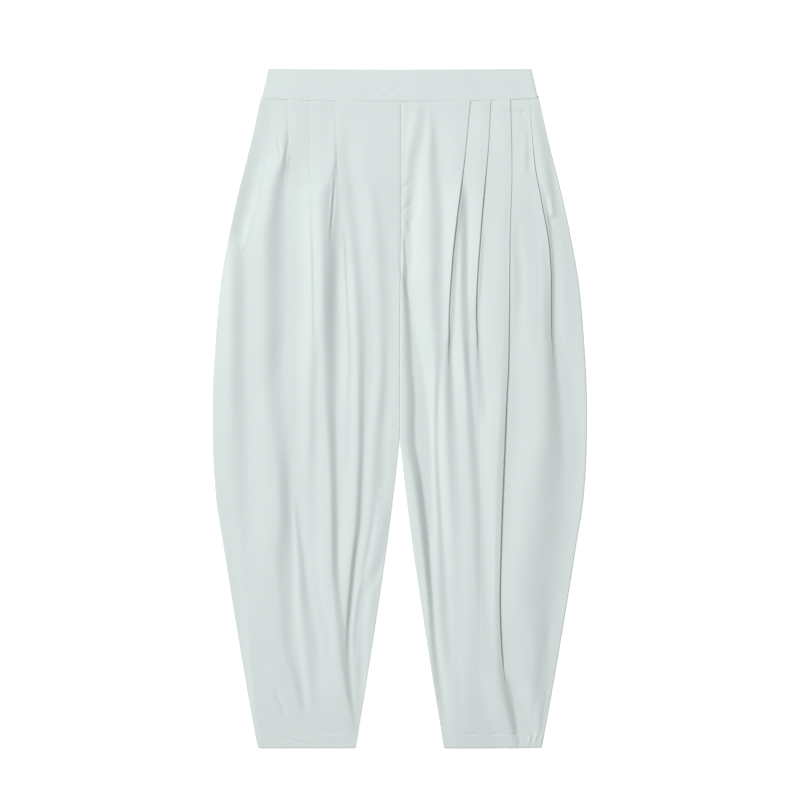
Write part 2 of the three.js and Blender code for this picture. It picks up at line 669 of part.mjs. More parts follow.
// The two faces of a wall round its middle line: each point moved out along its mitre. At an end,
// the line's direction runs on as it was turning.
const LEAST_MITRE = 0.6; // cosine at which a sharp corner's mitre is cut short
const RUN_ON = 0.5; // share of the last change of direction
function faces(section, thickness) {
  const ways = section.slice(1).map((point, i) => {
    return new THREE.Vector2(point.x - section[i].x, point.z - section[i].z).normalize();
  });
  const last = ways.length - 1;
  const beyond = (end, next) => end.clone().multiplyScalar(1 + RUN_ON).addScaledVector(next, -RUN_ON);
  const sides = [[], []];
  section.forEach((point, i) => {
    const inner = i > 0 && i <= last;
    const before = ways[Math.max(0, i - 1)];
    const middle = inner
      ? before.clone().add(ways[i]).normalize()
      : beyond(i ? ways[last] : ways[0], i ? ways[last - 1] : ways[1]).normalize();
    const reach = thickness / 2 / (inner ? Math.max(LEAST_MITRE, middle.dot(before)) : 1);
    for (const [k, way] of [1, -1].entries()) {
      sides[k].push({ x: point.x - middle.y * reach * way, z: point.z + middle.x * reach * way });
    }
  });
  return sides;
}

// A closed wall through sections at falling heights: both faces, both long edges and both ends
function wall(sections, side, place) {
  const positions = [];
  const triangles = [];
  const rows = sections.map(({ y, line, thickness }) => {
    const [upper, lower] = faces(line, thickness);
    const ring = [...upper, ...lower.reverse()];
    return ring.map(({ x, z }) => {
      const [px, py, pz] = place(x * side, y, z);
      positions.push(px, py, pz);
      return positions.length / 3 - 1;
    });
  });
  const size = rows[0].length;
  const face = (a, b, c) => (side > 0 ? triangles.push(a, b, c) : triangles.push(a, c, b));
  for (let r = 0; r + 1 < rows.length; r++) {
    for (let i = 0; i < size; i++) {
      const j = (i + 1) % size;
      face(rows[r][i], rows[r + 1][i], rows[r + 1][j]);
      face(rows[r][i], rows[r + 1][j], rows[r][j]);
    }
  }
  const cap = (ring, way) => {
    for (let i = 0; i + 1 < size / 2; i++) {
      const a = ring[i];
      const b = ring[i + 1];
      const c = ring[size - 2 - i];
      const d = ring[size - 1 - i];
      if (way > 0) {
        face(a, b, c);
        face(a, c, d);
      } else {
        face(a, c, b);
        face(a, d, c);
      }
    }
  };
  cap(rows[0], 1);
  cap(rows[rows.length - 1], -1);
  const geometry = new THREE.BufferGeometry();
  geometry.setAttribute("position", new THREE.Float32BufferAttribute(positions, 3));
  geometry.setIndex(triangles);
  geometry.computeVertexNormals();
  return geometry;
}

// Materials: pale ice-green satin crepe, seen from outside and, a little darker, from inside
const crepe = { color: 0xdae4e2, roughness: 0.55, metalness: 0 };
const crepeInside = { color: 0xc6d2d0, roughness: 0.65, metalness: 0 };

const trousers = new THREE.Group();
function add(name, geometry, material) {
  const mesh = new THREE.Mesh(geometry, new THREE.MeshStandardMaterial(material));
  mesh.name = name;
  trousers.add(mesh);
}

// Legs
function sweep(leg, heights, sectionOf, thickness) {
  const sections = heights.map((y) => ({ y, line: sectionOf(leg, y), thickness }));
  const place = (x, y, z) => [x, y + seamBend(x, y) - (y === SEAM_Y ? SEAM_GAP / 2 : 0), z];
  return wall(sections, leg.side, place);
}

for (const [name, leg] of [["right", RIGHT_LEG], ["left", LEFT_LEG]]) {
  add(`front_${name}`, sweep(leg, SECTIONS, frontSection, WALL), crepe);
  add(`back_${name}`, sweep(leg, SECTIONS, backSection, WALL), crepe);
  const along = SECTIONS.filter((y) => y > SEAM_Y - POCKET_LENGTH);
  add(`pocket_${name}`, sweep(leg, along, pocketSection, POCKET_WALL), crepeInside);
}

// Waistband: two walls, whose lower edges follow the waist seam. A row gives its share of the way
// down, and the thickness there, which is less at the folded top.
const BAND_ROWS = [
  { share: 0, thickness: 0.65 * BAND_WALL },
  { share: 0.02, thickness: 0.9 * BAND_WALL },
  { share: 0.06, thickness: BAND_WALL },
  { share: 0.5, thickness: BAND_WALL },
  { share: 1, thickness: BAND_WALL },
];
function band(height, end) {
  const low = SEAM_Y + SEAM_GAP / 2;
  const sections = BAND_ROWS.map(({ share, thickness }) => {
    const half = THREE.MathUtils.lerp(WAIST_HALF, outerEdge(SEAM_Y + SEAM_RISE), share);
    return { y: share, line: bandSection(half, height, end), thickness };
  });
  const place = (x, share, z) => {
    const upper = TOP - TOP_DIP * (1 - Math.min(1, (x / WAIST_HALF) ** 2));
    const lower = low + SEAM_RISE * Math.abs(x / SEAM_HALF) ** SEAM_CURVE;
    return [x, THREE.MathUtils.lerp(upper, lower, share), z];
  };
  return wall(sections, 1, place);
}
const BAND_MEET = (BAND_LIFT + BAND_WALL / 2) / 2;
add("waistband_front", band(BAND_LIFT, BAND_MEET + SEAM_GAP / 2), crepe);
add("waistband_back", band(BAND_WALL / 2, BAND_MEET - SEAM_GAP / 2), crepe);

export default trousers;
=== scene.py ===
"""Harem trousers laid flat on a pale floor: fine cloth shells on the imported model's pieces.

The tables hold the garment's sizes in millimetres. y runs up to the waist and is 0 half way, and
x is the distance from the centre line, except in CREASES, where the wearer's left is positive.
MM turns them into Blender's metres when a mesh is made. Heights are those of a layer's middle
above the floor."""

import math

import bpy
import numpy as np
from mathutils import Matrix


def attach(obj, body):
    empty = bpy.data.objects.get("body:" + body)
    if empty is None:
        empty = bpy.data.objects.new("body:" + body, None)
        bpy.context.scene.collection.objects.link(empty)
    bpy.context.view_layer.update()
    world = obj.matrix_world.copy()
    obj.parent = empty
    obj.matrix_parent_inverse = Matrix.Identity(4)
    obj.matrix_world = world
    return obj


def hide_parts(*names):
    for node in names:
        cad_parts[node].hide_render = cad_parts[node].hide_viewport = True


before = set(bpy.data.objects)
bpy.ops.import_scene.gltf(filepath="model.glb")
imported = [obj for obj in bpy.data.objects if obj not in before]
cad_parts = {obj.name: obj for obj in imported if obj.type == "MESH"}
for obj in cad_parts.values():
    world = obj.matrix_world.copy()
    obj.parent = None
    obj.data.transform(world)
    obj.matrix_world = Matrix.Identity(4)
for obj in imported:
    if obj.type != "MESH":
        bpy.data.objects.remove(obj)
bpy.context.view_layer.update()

MM = 0.001

# Sizes of the cloth and of how it lies
CLOTH = 0.45  # one layer of crepe
HEM_CLOTH = 0.75  # the hem, where the cloth is turned up
BAND_CLOTH = 1.1  # the doubled and faced waistband
LEAST_WALL = 0.12  # the waistband at its rounded edges
GROUND = 0.5  # the layer that lies on the floor
FRONT_LOW = 2.0  # a front at its lowest
INSEAM_LIFT = 2.6  # where front and back meet inside the leg
INSEAM_SPARE = 0.1  # how far each of them stops short of that
INSEAM_CLEAR = 0.05  # how far they keep from the leg's inner edge
CENTRE_SEAM_LIFT = 3.7  # the centre seam
SIDE_SEAM_BASE = 2.2  # the side seam, before the loft is added
LEAST_BEND = 0.25  # tightest radius of a layer's middle
LEAST_LAP = 0.2  # least cloth hidden under a pleat
REST_SOFTNESS = 0.4  # how gently a front settles on the layer below

# Sizes of the garment
TOP = 482.8  # the waistband's upper edge at its ends
TOP_DIP = 0.9  # how far that edge dips in the middle
WAIST_HALF = 186.9  # half of that edge
SEAM_Y = 436.6  # the waist seam at the centre
SEAM_HALF = 195  # half of the waist seam
SEAM_RISE = 4.3  # how far the waist seam rises to its ends
SEAM_BEND_FADES = 110  # the length over which the legs take up that bend
BAND_LIFT = 4  # height of the front waistband
CROTCH = 200  # end of the centre seam, from where the legs lie side by side
TURN_LENGTH = 34  # the length over which the seam's edge turns into the leg's rounded edge
LEGS_OPEN = -38  # where the legs part
LEG_GAP_HALF = 62.5  # half of the gap between them at the hem
LEG_GAP_CURVE = 1.2  # power by which the gap opens
HEM = -481.7
HEM_DEPTH = 19  # of the cloth turned up there
WIDEST = 265.5  # half of the widest place
CENTRE_OFF_HEM = 0.3  # how far the centre line is off the middle, low down
CENTRE_OFF_WAIST = 3.2  # and high up
CENTRE_LOW = 110  # the heights between which it moves from one to the other
CENTRE_HIGH = 300
CENTRE_STARTS = -8  # below this height it goes back to the middle
CENTRE_ENDS = -48
CENTRE_REACH = 22  # how far from the centre line the cloth moves with it
POCKET_UNDER_FRONT = 11  # how far a facing runs on under the front, from the side seam
POCKET_UNDER_BACK = 5  # and under the back
TUCK = 4  # how far the leg pieces run on under the waistband
TUCK_TOP = 2.9  # their highest layer there
WAIST_RISE = 1.0  # and how far they rise to the waistband's edge


def table(names, *rows):
    """A table with named columns, a row for each section from the waist down."""
    columns = zip(*rows)
    return {name: np.array(column, float) for name, column in zip(names.split(), columns)}


OUTLINE = table(
    "y x",
    (481.7, 186.9),
    (440, 196.9),
    (390, 208.3),
    (308, 229.4),
    (240, 243.9),
    (171, 255.4),
    (103, 261.4),
    (35, 265.4),
    (1, 266.1),
    (-56, 265.6),
    (-124, 261.4),
    (-192, 251.1),
    (-328, 229.1),
    (-465, 204.9),
    (-481.7, 201.3),
)

# Radius of each outer fold, how far the front lifts off the back, and the share that is left of a
# pleat's step
PUFF = table(
    "y right_fold left_fold loft press",
    (441, 1.3, 1, 0.1, 0.31),
    (400, 1.7, 1, 1.1, 0.31),
    (353, 2.4, 1.1, 2.4, 0.42),
    (290, 3.1, 1.2, 3.6, 0.85),
    (200, 3.3, 1.25, 4.2, 1),
    (-100, 3.2, 1.25, 4.1, 1),
    (-300, 2.7, 1.25, 4, 1),
    (-399, 2.4, 0.9, 3.5, 1),
    (-440, 2.1, 0.8, 2.6, 1),
    (-481.7, 1.6, 1, 1.4, 0.8),
)

PLEAT = "y x lap turn drop"


def fall(reach, *rows):
    """A path where the cloth falls towards the wearer's left, and levels out over its reach."""
    return {"reach": reach, **table("y x half step", *rows)}


# The wearer's left leg. A seam has its place and how far a front gapes from it. A pleat has its
# visible edge, the cloth hidden under it, how far the cloth turns there in degrees, and how far it
# steps down. Below its foot it goes on as a flat line. A fall has its middle, half width and step.
LEFT_SEAM = table(
    "y x gape",
    (441, 184, 0.02),
    (397, 187.4, 0.35),
    (345, 192.7, 0.7),
    (296, 201.6, 0.8),
    (227, 213.3, 0.95),
    (183, 215.8, 1.05),
    (126, 215.8, 1),
    (83, 217, 0.3),
    (55, 218, 0.02),
    (-30, 224.4, 0.02),
    (-87, 225.2, 0.02),
    (-158, 215.8, 0.02),
    (-259, 205.9, 0.02),
    (-357, 204, 0.02),
    (-481.7, 194.5, 0.02),
)
LEFT_PLEATS = [
    table(
        PLEAT,
        (441, 101, 13, 180, 2.9),
        (353, 92, 12, 180, 2.9),
        (267, 80.8, 10, 180, 2.7),
        (208, 74.5, 8, 180, 2.3),
        (118, 69.7, 4, 180, 1.7),
        (98, 69.7, 0.3, 90, 1.8),
        (80, 69.7, 0.3, 35, 0.7),
        (55, 69.7, 0.3, 2, 0.012),
        (-481.7, 85, 0.3, 2, 0.012),
    ),
    table(
        PLEAT,
        (441, 129.5, 13, 180, 2.9),
        (382, 126.7, 12, 180, 2.9),
        (312, 120.2, 11, 180, 2.9),
        (252, 115, 9, 180, 2.4),
        (139, 108.5, 5, 180, 1.9),
        (118, 109, 2, 180, 1.7),
        (98, 110, 0.3, 90, 1.8),
        (80, 111, 0.3, 35, 0.7),
        (55, 112, 0.3, 2, 0.012),
        (-481.7, 112, 0.3, 2, 0.012),
    ),
    table(
        PLEAT,
        (441, 157, 13, 180, 2.9),
        (394, 158.6, 12, 180, 2.9),
        (332, 159.2, 11, 180, 1.4),
        (296, 158.2, 10, 180, 1.05),
        (241, 156.2, 9, 180, 1.3),
        (183, 155.8, 8, 180, 1.6),
        (69, 154.4, 6, 180, 1.9),
        (12, 151.6, 6, 180, 2.2),
        (-44, 149.2, 6, 180, 2.6),
        (-178, 144, 6, 180, 2.7),
        (-272, 142, 6, 180, 2.7),
        (-337, 144, 5, 180, 2.5),
        (-352, 145.2, 2, 180, 2.3),
        (-367, 147, 0.3, 90, 1.3),
        (-382, 149, 0.3, 35, 0.5),
        (-395, 151, 0.3, 2, 0.012),
        (-481.7, 168, 0.3, 2, 0.012),
    ),
]
LEFT_FALLS = [
    # drag line from under the waistband to the centre seam
    fall(
        14,
        (433, 30.5, 5.5, 0.3),
        (421, 30.5, 6.5, 1.2),
        (396, 27, 8, 2),
        (353, 18.5, 8.5, 2.6),
        (296, 13.5, 8.5, 2.6),
        (261, 10, 7, 2.2),
        (225, 8, 5.5, 1.5),
        (190, 6.5, 5, 0.8),
        (162, 5, 4.5, 0),
    ),
    # long valley down the front of the leg
    fall(
        30,
        (433, 44.5, 3, 0),
        (396, 47, 5.5, 1.9),
        (353, 48.5, 8.5, 3.2),
        (296, 51, 10.5, 4.3),
        (240, 53, 13, 5.2),
        (126, 54, 10.5, 4.6),
        (69, 54, 7, 4),
        (12, 52.5, 4.5, 3.7),
        (-44, 52, 4.5, 3.6),
        (-101, 54, 4.5, 3.6),
        (-158, 57, 5, 3.5),
        (-215, 59.5, 7, 3.6),
        (-272, 62, 8, 3.6),
        (-328, 64.5, 8.5, 2.8),
        (-388, 70.5, 5.5, 0),
    ),
    # deep valley beside the leg's inner edge
    fall(
        34,
        (260, 3, 2, 0),
        (248, 4, 2, 1.4),
        (234, 5.5, 3, 2),
        (208, 7, 4.5, 2.4),
        (183, 7.5, 5, 3.6),
        (126, 11.5, 7, 5.4),
        (69, 15, 10.5, 7.2),
        (12, 20, 13, 9.4),
        (-44, 21.5, 14.5, 11.4),
        (-101, 28.5, 10.5, 10.8),
        (-158, 34.5, 9, 9.4),
        (-215, 39, 6.5, 7),
        (-272, 43.5, 5.5, 5),
        (-328, 47.5, 5.5, 3.8),
        (-399, 56, 6.5, 2.8),
        (-431, 60.5, 5.5, 1.2),
        (-459, 64.5, 5.5, 0),
    ),
    # beyond the inner pleat, and where it opens
    fall(
        22,
        (318, 90, 3, 0),
        (296, 88.5, 3.5, 1.2),
        (240, 81.5, 4.5, 2.8),
        (183, 77, 5, 3.8),
        (126, 74, 5.5, 3.8),
        (72, 70.5, 5.5, 4.6),
        (55, 70.5, 6.5, 4.8),
        (12, 71.5, 8, 5),
        (-44, 73, 10, 4.2),
        (-101, 76, 10, 2.8),
        (-158, 80, 10, 2),
        (-215, 83, 8.5, 1.2),
        (-272, 86, 8.5, 0.4),
        (-328, 89, 8.5, 0),
    ),
    # between the inner and middle pleats
    fall(
        26,
        (328, 90, 3.5, 0),
        (296, 91.5, 6.5, 3.2),
        (240, 91.5, 7, 5.2),
        (183, 91.5, 7, 5.6),
        (126, 92.5, 8, 5.8),
        (69, 95, 5.5, 4.4),
        (12, 98.5, 6.5, 3.6),
        (-44, 102, 8, 3.4),
        (-101, 107, 9, 3.2),
        (-158, 111.5, 10, 3.5),
        (-215, 113.5, 10.5, 3.4),
        (-272, 117, 10, 2.6),
        (-328, 121.5, 10, 1.2),
        (-385, 127, 10, 0),
    ),
    # beyond the middle pleat, and where it opens
    fall(
        22,
        (275, 120, 3, 0),
        (240, 118.5, 3, 1.2),
        (183, 114.5, 3.5, 2),
        (133, 110.5, 5, 2.2),
        (98, 111, 5, 2),
        (69, 112, 6.5, 2.8),
        (12, 116.5, 7, 2.2),
        (-33, 120, 7, 0),
    ),
    # slope down to the outer pleat
    fall(
        30,
        (325, 151, 3, 0),
        (240, 151, 3.5, 0.5),
        (126, 151, 4.5, 0.7),
        (69, 150, 5, 0.8),
        (12, 147.5, 5, 1),
        (-44, 145, 5.5, 1.5),
        (-101, 141.5, 6.5, 1.5),
        (-158, 139.5, 5.5, 1.5),
        (-215, 138.5, 4.5, 1.3),
        (-272, 139, 3.5, 1.2),
        (-328, 140, 4.5, 1.2),
        (-364, 142.5, 5, 2),
        (-382, 147.5, 8.5, 4),
        (-399, 152.5, 10.5, 6),
        (-431, 159, 10, 6.4),
        (-448, 162.5, 8, 5.2),
        (-459, 164, 6.5, 3.6),
        (-470, 166, 6.5, 2.2),
        (-482, 168.5, 5.5, 1.2),
    ),
    # shallow crease beyond the outer pleat
    fall(
        9,
        (275, 164, 4.5, 0),
        (240, 164, 5.5, 0.8),
        (183, 167, 6.5, 1.4),
        (126, 165.5, 7, 0.6),
        (83, 165.5, 7, 0),
    ),
    # soft crease under the waistband
    fall(
        8,
        (403, 181, 3, 0),
        (375, 181, 3, 0.6),
        (350, 181, 3.5, 0.9),
        (328, 181, 3.5, 0),
    ),
    # beyond the pocket's mouth
    fall(
        16,
        (332, 196.5, 3, 0),
        (296, 205, 3.5, 1.2),
        (240, 214, 3.5, 2),
        (183, 217.5, 3.5, 2.4),
        (126, 217.5, 3.5, 2.4),
        (69, 220, 4.5, 1),
        (34, 221, 4.5, 0),
    ),
    # down to the outer fold beside the pocket
    fall(
        14,
        (433, 191, 5.5, 0.3),
        (420, 195, 5.5, 0.7),
        (396, 200, 7, 1.6),
        (353, 209.5, 7, 2.1),
        (339, 211.5, 7, 2.6),
        (311, 216, 6.5, 2.6),
        (298, 218.5, 5.5, 1.6),
        (261, 226.5, 5.5, 0),
    ),
    # broad valley along the side seam
    fall(
        40,
        (261, 201, 4.5, 0),
        (225, 205, 5.5, 1),
        (183, 208.5, 6.5, 2),
        (126, 209.5, 8.5, 3.8),
        (69, 215, 11.5, 5.8),
        (12, 219.5, 15.5, 7.1),
        (-44, 221, 18.5, 7.1),
        (-101, 216.5, 23.5, 6.6),
        (-158, 213, 24, 5.6),
        (-215, 206.5, 25.5, 5),
        (-272, 201, 22.5, 4.6),
        (-328, 204, 15.5, 4.4),
        (-399, 199.5, 13, 3.8),
        (-445, 195, 14, 2.6),
        (-477, 192.5, 14, 1.4),
    ),
    # last step down to the outer fold above the hem
    fall(
        12,
        (-328, 218, 5.5, 0),
        (-371, 216.5, 6.5, 1.6),
        (-414, 210, 6.5, 2),
        (-448, 205, 6.5, 2.3),
        (-470, 204, 5.5, 1.6),
        (-482, 203, 5, 1),
    ),
    # beside the inner valley above the hem
    fall(
        14,
        (-300, 66, 7, 0),
        (-343, 71, 8.5, 1),
        (-399, 74.5, 10, 1),
        (-442, 74.5, 10, 0.6),
        (-477, 74.5, 10, 0),
    ),
    # the lower leg leans down towards the outer fold
    fall(
        20,
        (-257, 131.5, 92.5, 0),
        (-328, 133, 89, 2.4),
        (-399, 133, 82.5, 4),
        (-456, 133, 74, 3.8),
        (-482, 133, 71, 3),
    ),
]

RIGHT_SEAM = table(
    "y x gape",
    (441, 177, 0.02),
    (423, 182.5, 0.05),
    (367, 188.9, 0.06),
    (291, 200.9, 0.06),
    (248, 212, 0.06),
    (221, 221, 0.02),
    (112, 221.5, 0.02),
    (41, 218.7, 0.02),
    (-51, 217.3, 0.02),
    (-130, 214.4, 0.02),
    (-272, 213, 0.02),
    (-400, 206, 0.02),
    (-481.7, 194.5, 0.02),
)
RIGHT_PLEATS = [
    table(
        PLEAT,
        (441, 92, 13, 180, 2.9),
        (396, 89.5, 12, 180, 2.6),
        (353, 87.5, 11, 180, 2),
        (296, 84, 8, 180, 1.6),
        (250, 81, 4, 180, 1.4),
        (225, 79.3, 1, 180, 1.2),
        (210, 78.5, 0.3, 60, 0.4),
        (195, 77.5, 0.3, 2, 0.012),
        (-481.7, 79, 0.3, 2, 0.012),
    ),
    table(
        PLEAT,
        (441, 125.8, 13, 180, 2.9),
        (353, 126, 12, 180, 2.2),
        (296, 124.2, 9, 180, 1.4),
        (240, 122.6, 8, 180, 1.3),
        (183, 121.1, 6, 180, 1.3),
        (126, 120.8, 2, 180, 1.3),
        (110, 121, 0.3, 60, 0.6),
        (90, 121, 0.3, 2, 0.012),
        (-481.7, 110, 0.3, 2, 0.012),
    ),
    table(
        PLEAT,
        (441, 157.6, 13, 180, 2.9),
        (383, 156.6, 12, 180, 2.9),
        (360, 158, 8, 180, 2.6),
        (345, 160, 2, 180, 2.2),
        (334, 161.5, 0.3, 90, 1.2),
        (320, 162, 0.3, 30, 0.4),
        (300, 162, 0.3, 2, 0.012),
        (-481.7, 150, 0.3, 2, 0.012),
    ),
]
RIGHT_FALLS = [
    # beside the outer fold
    fall(
        34,
        (413, 189.5, 7, 0),
        (396, 195, 10, 1),
        (353, 206.5, 13.5, 4.6),
        (296, 221.5, 13.5, 6),
        (240, 231.5, 11.5, 5.6),
        (154, 229.5, 13, 5.4),
        (41, 230, 13, 4.2),
        (-44, 227, 13, 2.8),
        (-130, 223.5, 10, 1.6),
        (-215, 219.5, 7, 0.5),
        (-272, 216.5, 7, 0),
    ),
    # broad valley down to the outer pleat, which goes on below it
    fall(
        62,
        (404, 157, 3.5, 0),
        (382, 160, 5.5, 1.6),
        (353, 161.5, 7, 4.2),
        (325, 169.5, 12, 5.4),
        (296, 174, 14, 5.8),
        (240, 175.5, 18.5, 6.6),
        (126, 175.5, 18.5, 6.2),
        (69, 179.5, 15.5, 4.9),
        (12, 177, 15.5, 2.8),
        (-44, 168.5, 14, 3.2),
        (-101, 163.5, 10.5, 4.4),
        (-158, 162, 11.5, 5),
        (-215, 164.5, 13.5, 4.4),
        (-272, 162.5, 10, 2.8),
        (-328, 160, 9, 2),
        (-399, 143.5, 6.5, 1.5),
        (-445, 135.5, 5.5, 0),
    ),
    # beyond the ridge that runs down from it
    fall(
        26,
        (-122, 150, 2, 0),
        (-158, 145.5, 3.5, 1),
        (-215, 139, 5.5, 2),
        (-272, 133, 8.5, 2.8),
        (-328, 124, 9, 2.4),
        (-399, 117, 8.5, 0.3),
        (-442, 113, 10, 0),
    ),
    # where the middle pleat opens
    fall(
        20,
        (119, 121.5, 3.5, 0),
        (91, 121.5, 5, 1.2),
        (69, 121.5, 6.5, 2),
        (12, 123, 7, 2),
        (-44, 123.5, 7, 2.2),
        (-101, 124, 8.5, 1.3),
        (-158, 123, 8.5, 1.2),
        (-208, 125.5, 7, 0),
    ),
    # foot of the middle pleat
    fall(
        14,
        (421, 127, 1.5, 0.2),
        (353, 127, 1.5, 0.4),
        (296, 125, 1.5, 0.8),
        (240, 124, 1.5, 1.2),
        (183, 122.5, 1.5, 1.5),
        (126, 122, 1.5, 1.3),
        (91, 121.5, 3, 0),
    ),
    # sharp crease in the valley beside the inner pleat
    fall(
        3,
        (336, 92.5, 1.5, 0),
        (318, 93.5, 1.5, 1),
        (296, 95, 1.5, 1.4),
        (265, 97.5, 1.5, 1.2),
        (233, 100, 2, 0),
    ),
    # deep valley down to the inner pleat, which goes on to the hem
    fall(
        40,
        (382, 89, 3, 0),
        (367, 89.5, 3, 1),
        (353, 90, 3.5, 1.8),
        (325, 92.5, 9, 3),
        (296, 96.5, 18.5, 6.2),
        (240, 96.5, 16.5, 8),
        (169, 98.5, 13.5, 8.2),
        (119, 99, 13, 7.6),
        (69, 98.5, 11.5, 6.6),
        (12, 98, 10, 5.2),
        (-44, 95.5, 8, 4.6),
        (-101, 93.5, 6.5, 4),
        (-158, 92.5, 6.5, 4.2),
        (-215, 91.5, 6.5, 4.2),
        (-272, 88, 7, 4),
        (-328, 81.5, 8.5, 3.8),
        (-399, 72.5, 6.5, 3.8),
        (-439, 66, 4.5, 1.2),
        (-468, 62, 4.5, 0),
    ),
    # narrow crease inside the inner pleat
    fall(
        12,
        (268, 81, 2, 0),
        (240, 79, 2, 0.8),
        (183, 76, 2, 1),
        (126, 73, 2.5, 1),
        (69, 71, 3, 1),
        (12, 73, 4.5, 0.8),
        (-44, 74.5, 5, 0.7),
        (-130, 74.5, 4.5, 0),
    ),
    # narrow valley that starts under the waistband
    fall(
        24,
        (421, 81.5, 4.5, 0),
        (396, 79.5, 5, 0.6),
        (353, 77.5, 6.5, 1),
        (296, 69.5, 8, 2.2),
        (240, 64, 9, 3),
        (183, 59, 8, 3.2),
        (126, 56, 8, 3.2),
        (69, 54.5, 7, 3.2),
        (-44, 54.5, 5.5, 3.3),
        (-101, 56, 5.5, 3.9),
        (-158, 58.5, 5.5, 4.3),
        (-215, 65, 4.5, 4.7),
        (-272, 70.5, 4.5, 4.8),
        (-321, 74, 3.5, 2.6),
        (-364, 74, 3.5, 0),
    ),
    # beside the centre seam, then across to the inner valley
    fall(
        14,
        (318, 37.5, 4.5, 0),
        (289, 32.5, 5, 0.6),
        (240, 27, 8.5, 1),
        (126, 21.5, 8, 1.3),
        (69, 21.5, 5.5, 1.3),
        (12, 25, 6.5, 1.9),
        (-44, 30, 7, 2),
        (-101, 32.5, 8.5, 2.2),
        (-158, 38.5, 5.5, 1.9),
        (-215, 48.5, 5, 1.7),
        (-272, 58, 4.5, 1.9),
        (-328, 64, 3, 1),
        (-364, 64.5, 3, 0),
    ),
    # beside the leg's inner edge
    fall(
        8,
        (-101, 16.5, 5.5, 0),
        (-158, 22, 9, 1.8),
        (-215, 32.5, 8.5, 1.5),
        (-272, 53, 6.5, 1),
        (-328, 57.5, 5.5, 1),
        (-399, 58, 5, 0.8),
        (-445, 59, 4.5, 0),
    ),
    # flat of the shin
    fall(
        20,
        (-172, 124, 7, 0),
        (-215, 121.5, 8, 1),
        (-272, 115.5, 7, 1),
        (-328, 104.5, 7, 0.8),
        (-399, 98.5, 6.5, 0),
    ),
    # bright ridge that runs to the hem
    fall(
        10,
        (-115, 154, 3, 0),
        (-158, 150.5, 3, -0.4),
        (-215, 147, 3.5, -0.7),
        (-272, 145.5, 4.5, -1),
        (-328, 141.5, 5, -0.8),
        (-399, 132, 5, -1.1),
        (-435, 128.5, 4.5, 0),
    ),
    # soft slope across the outer thigh
    fall(
        30,
        (311, 201, 21.5, 0),
        (240, 204, 24, 1.3),
        (154, 206.5, 25.5, 1.7),
        (69, 206.5, 24, 1.2),
        (-16, 204, 21.5, 0),
    ),
    # soft slope between the outer and middle pleats
    fall(
        20,
        (332, 138.5, 14, 0),
        (282, 140, 15.5, 1),
        (197, 140, 15.5, 1.1),
        (112, 140, 14, 0.6),
        (55, 140, 13, 0),
    ),
    # beside the inner pleat at the waist
    fall(
        10,
        (438, 92.5, 1.5, 0.2),
        (413, 91.5, 1.5, 0.4),
        (382, 90.5, 1.5, 0.4),
        (356, 90, 1.5, 0),
    ),
    # beside the outer pleat at the waist
    fall(
        10,
        (438, 159, 1.5, 0.2),
        (413, 158.5, 1.5, 0.35),
        (393, 158.5, 1.5, 0.3),
        (370, 158.5, 1.5, 0),
    ),
]

LEGS = {
    "right": {
        "side": -1,
        "fold": "right_fold",
        "tilt": -0.5,
        "inside": 3.4,
        "seam": RIGHT_SEAM,
        "pleats": RIGHT_PLEATS,
        "falls": RIGHT_FALLS,
    },
    "left": {
        "side": 1,
        "fold": "left_fold",
        "tilt": 0.8,
        "inside": 6.2,
        "seam": LEFT_SEAM,
        "pleats": LEFT_PLEATS,
        "falls": LEFT_FALLS,
    },
}

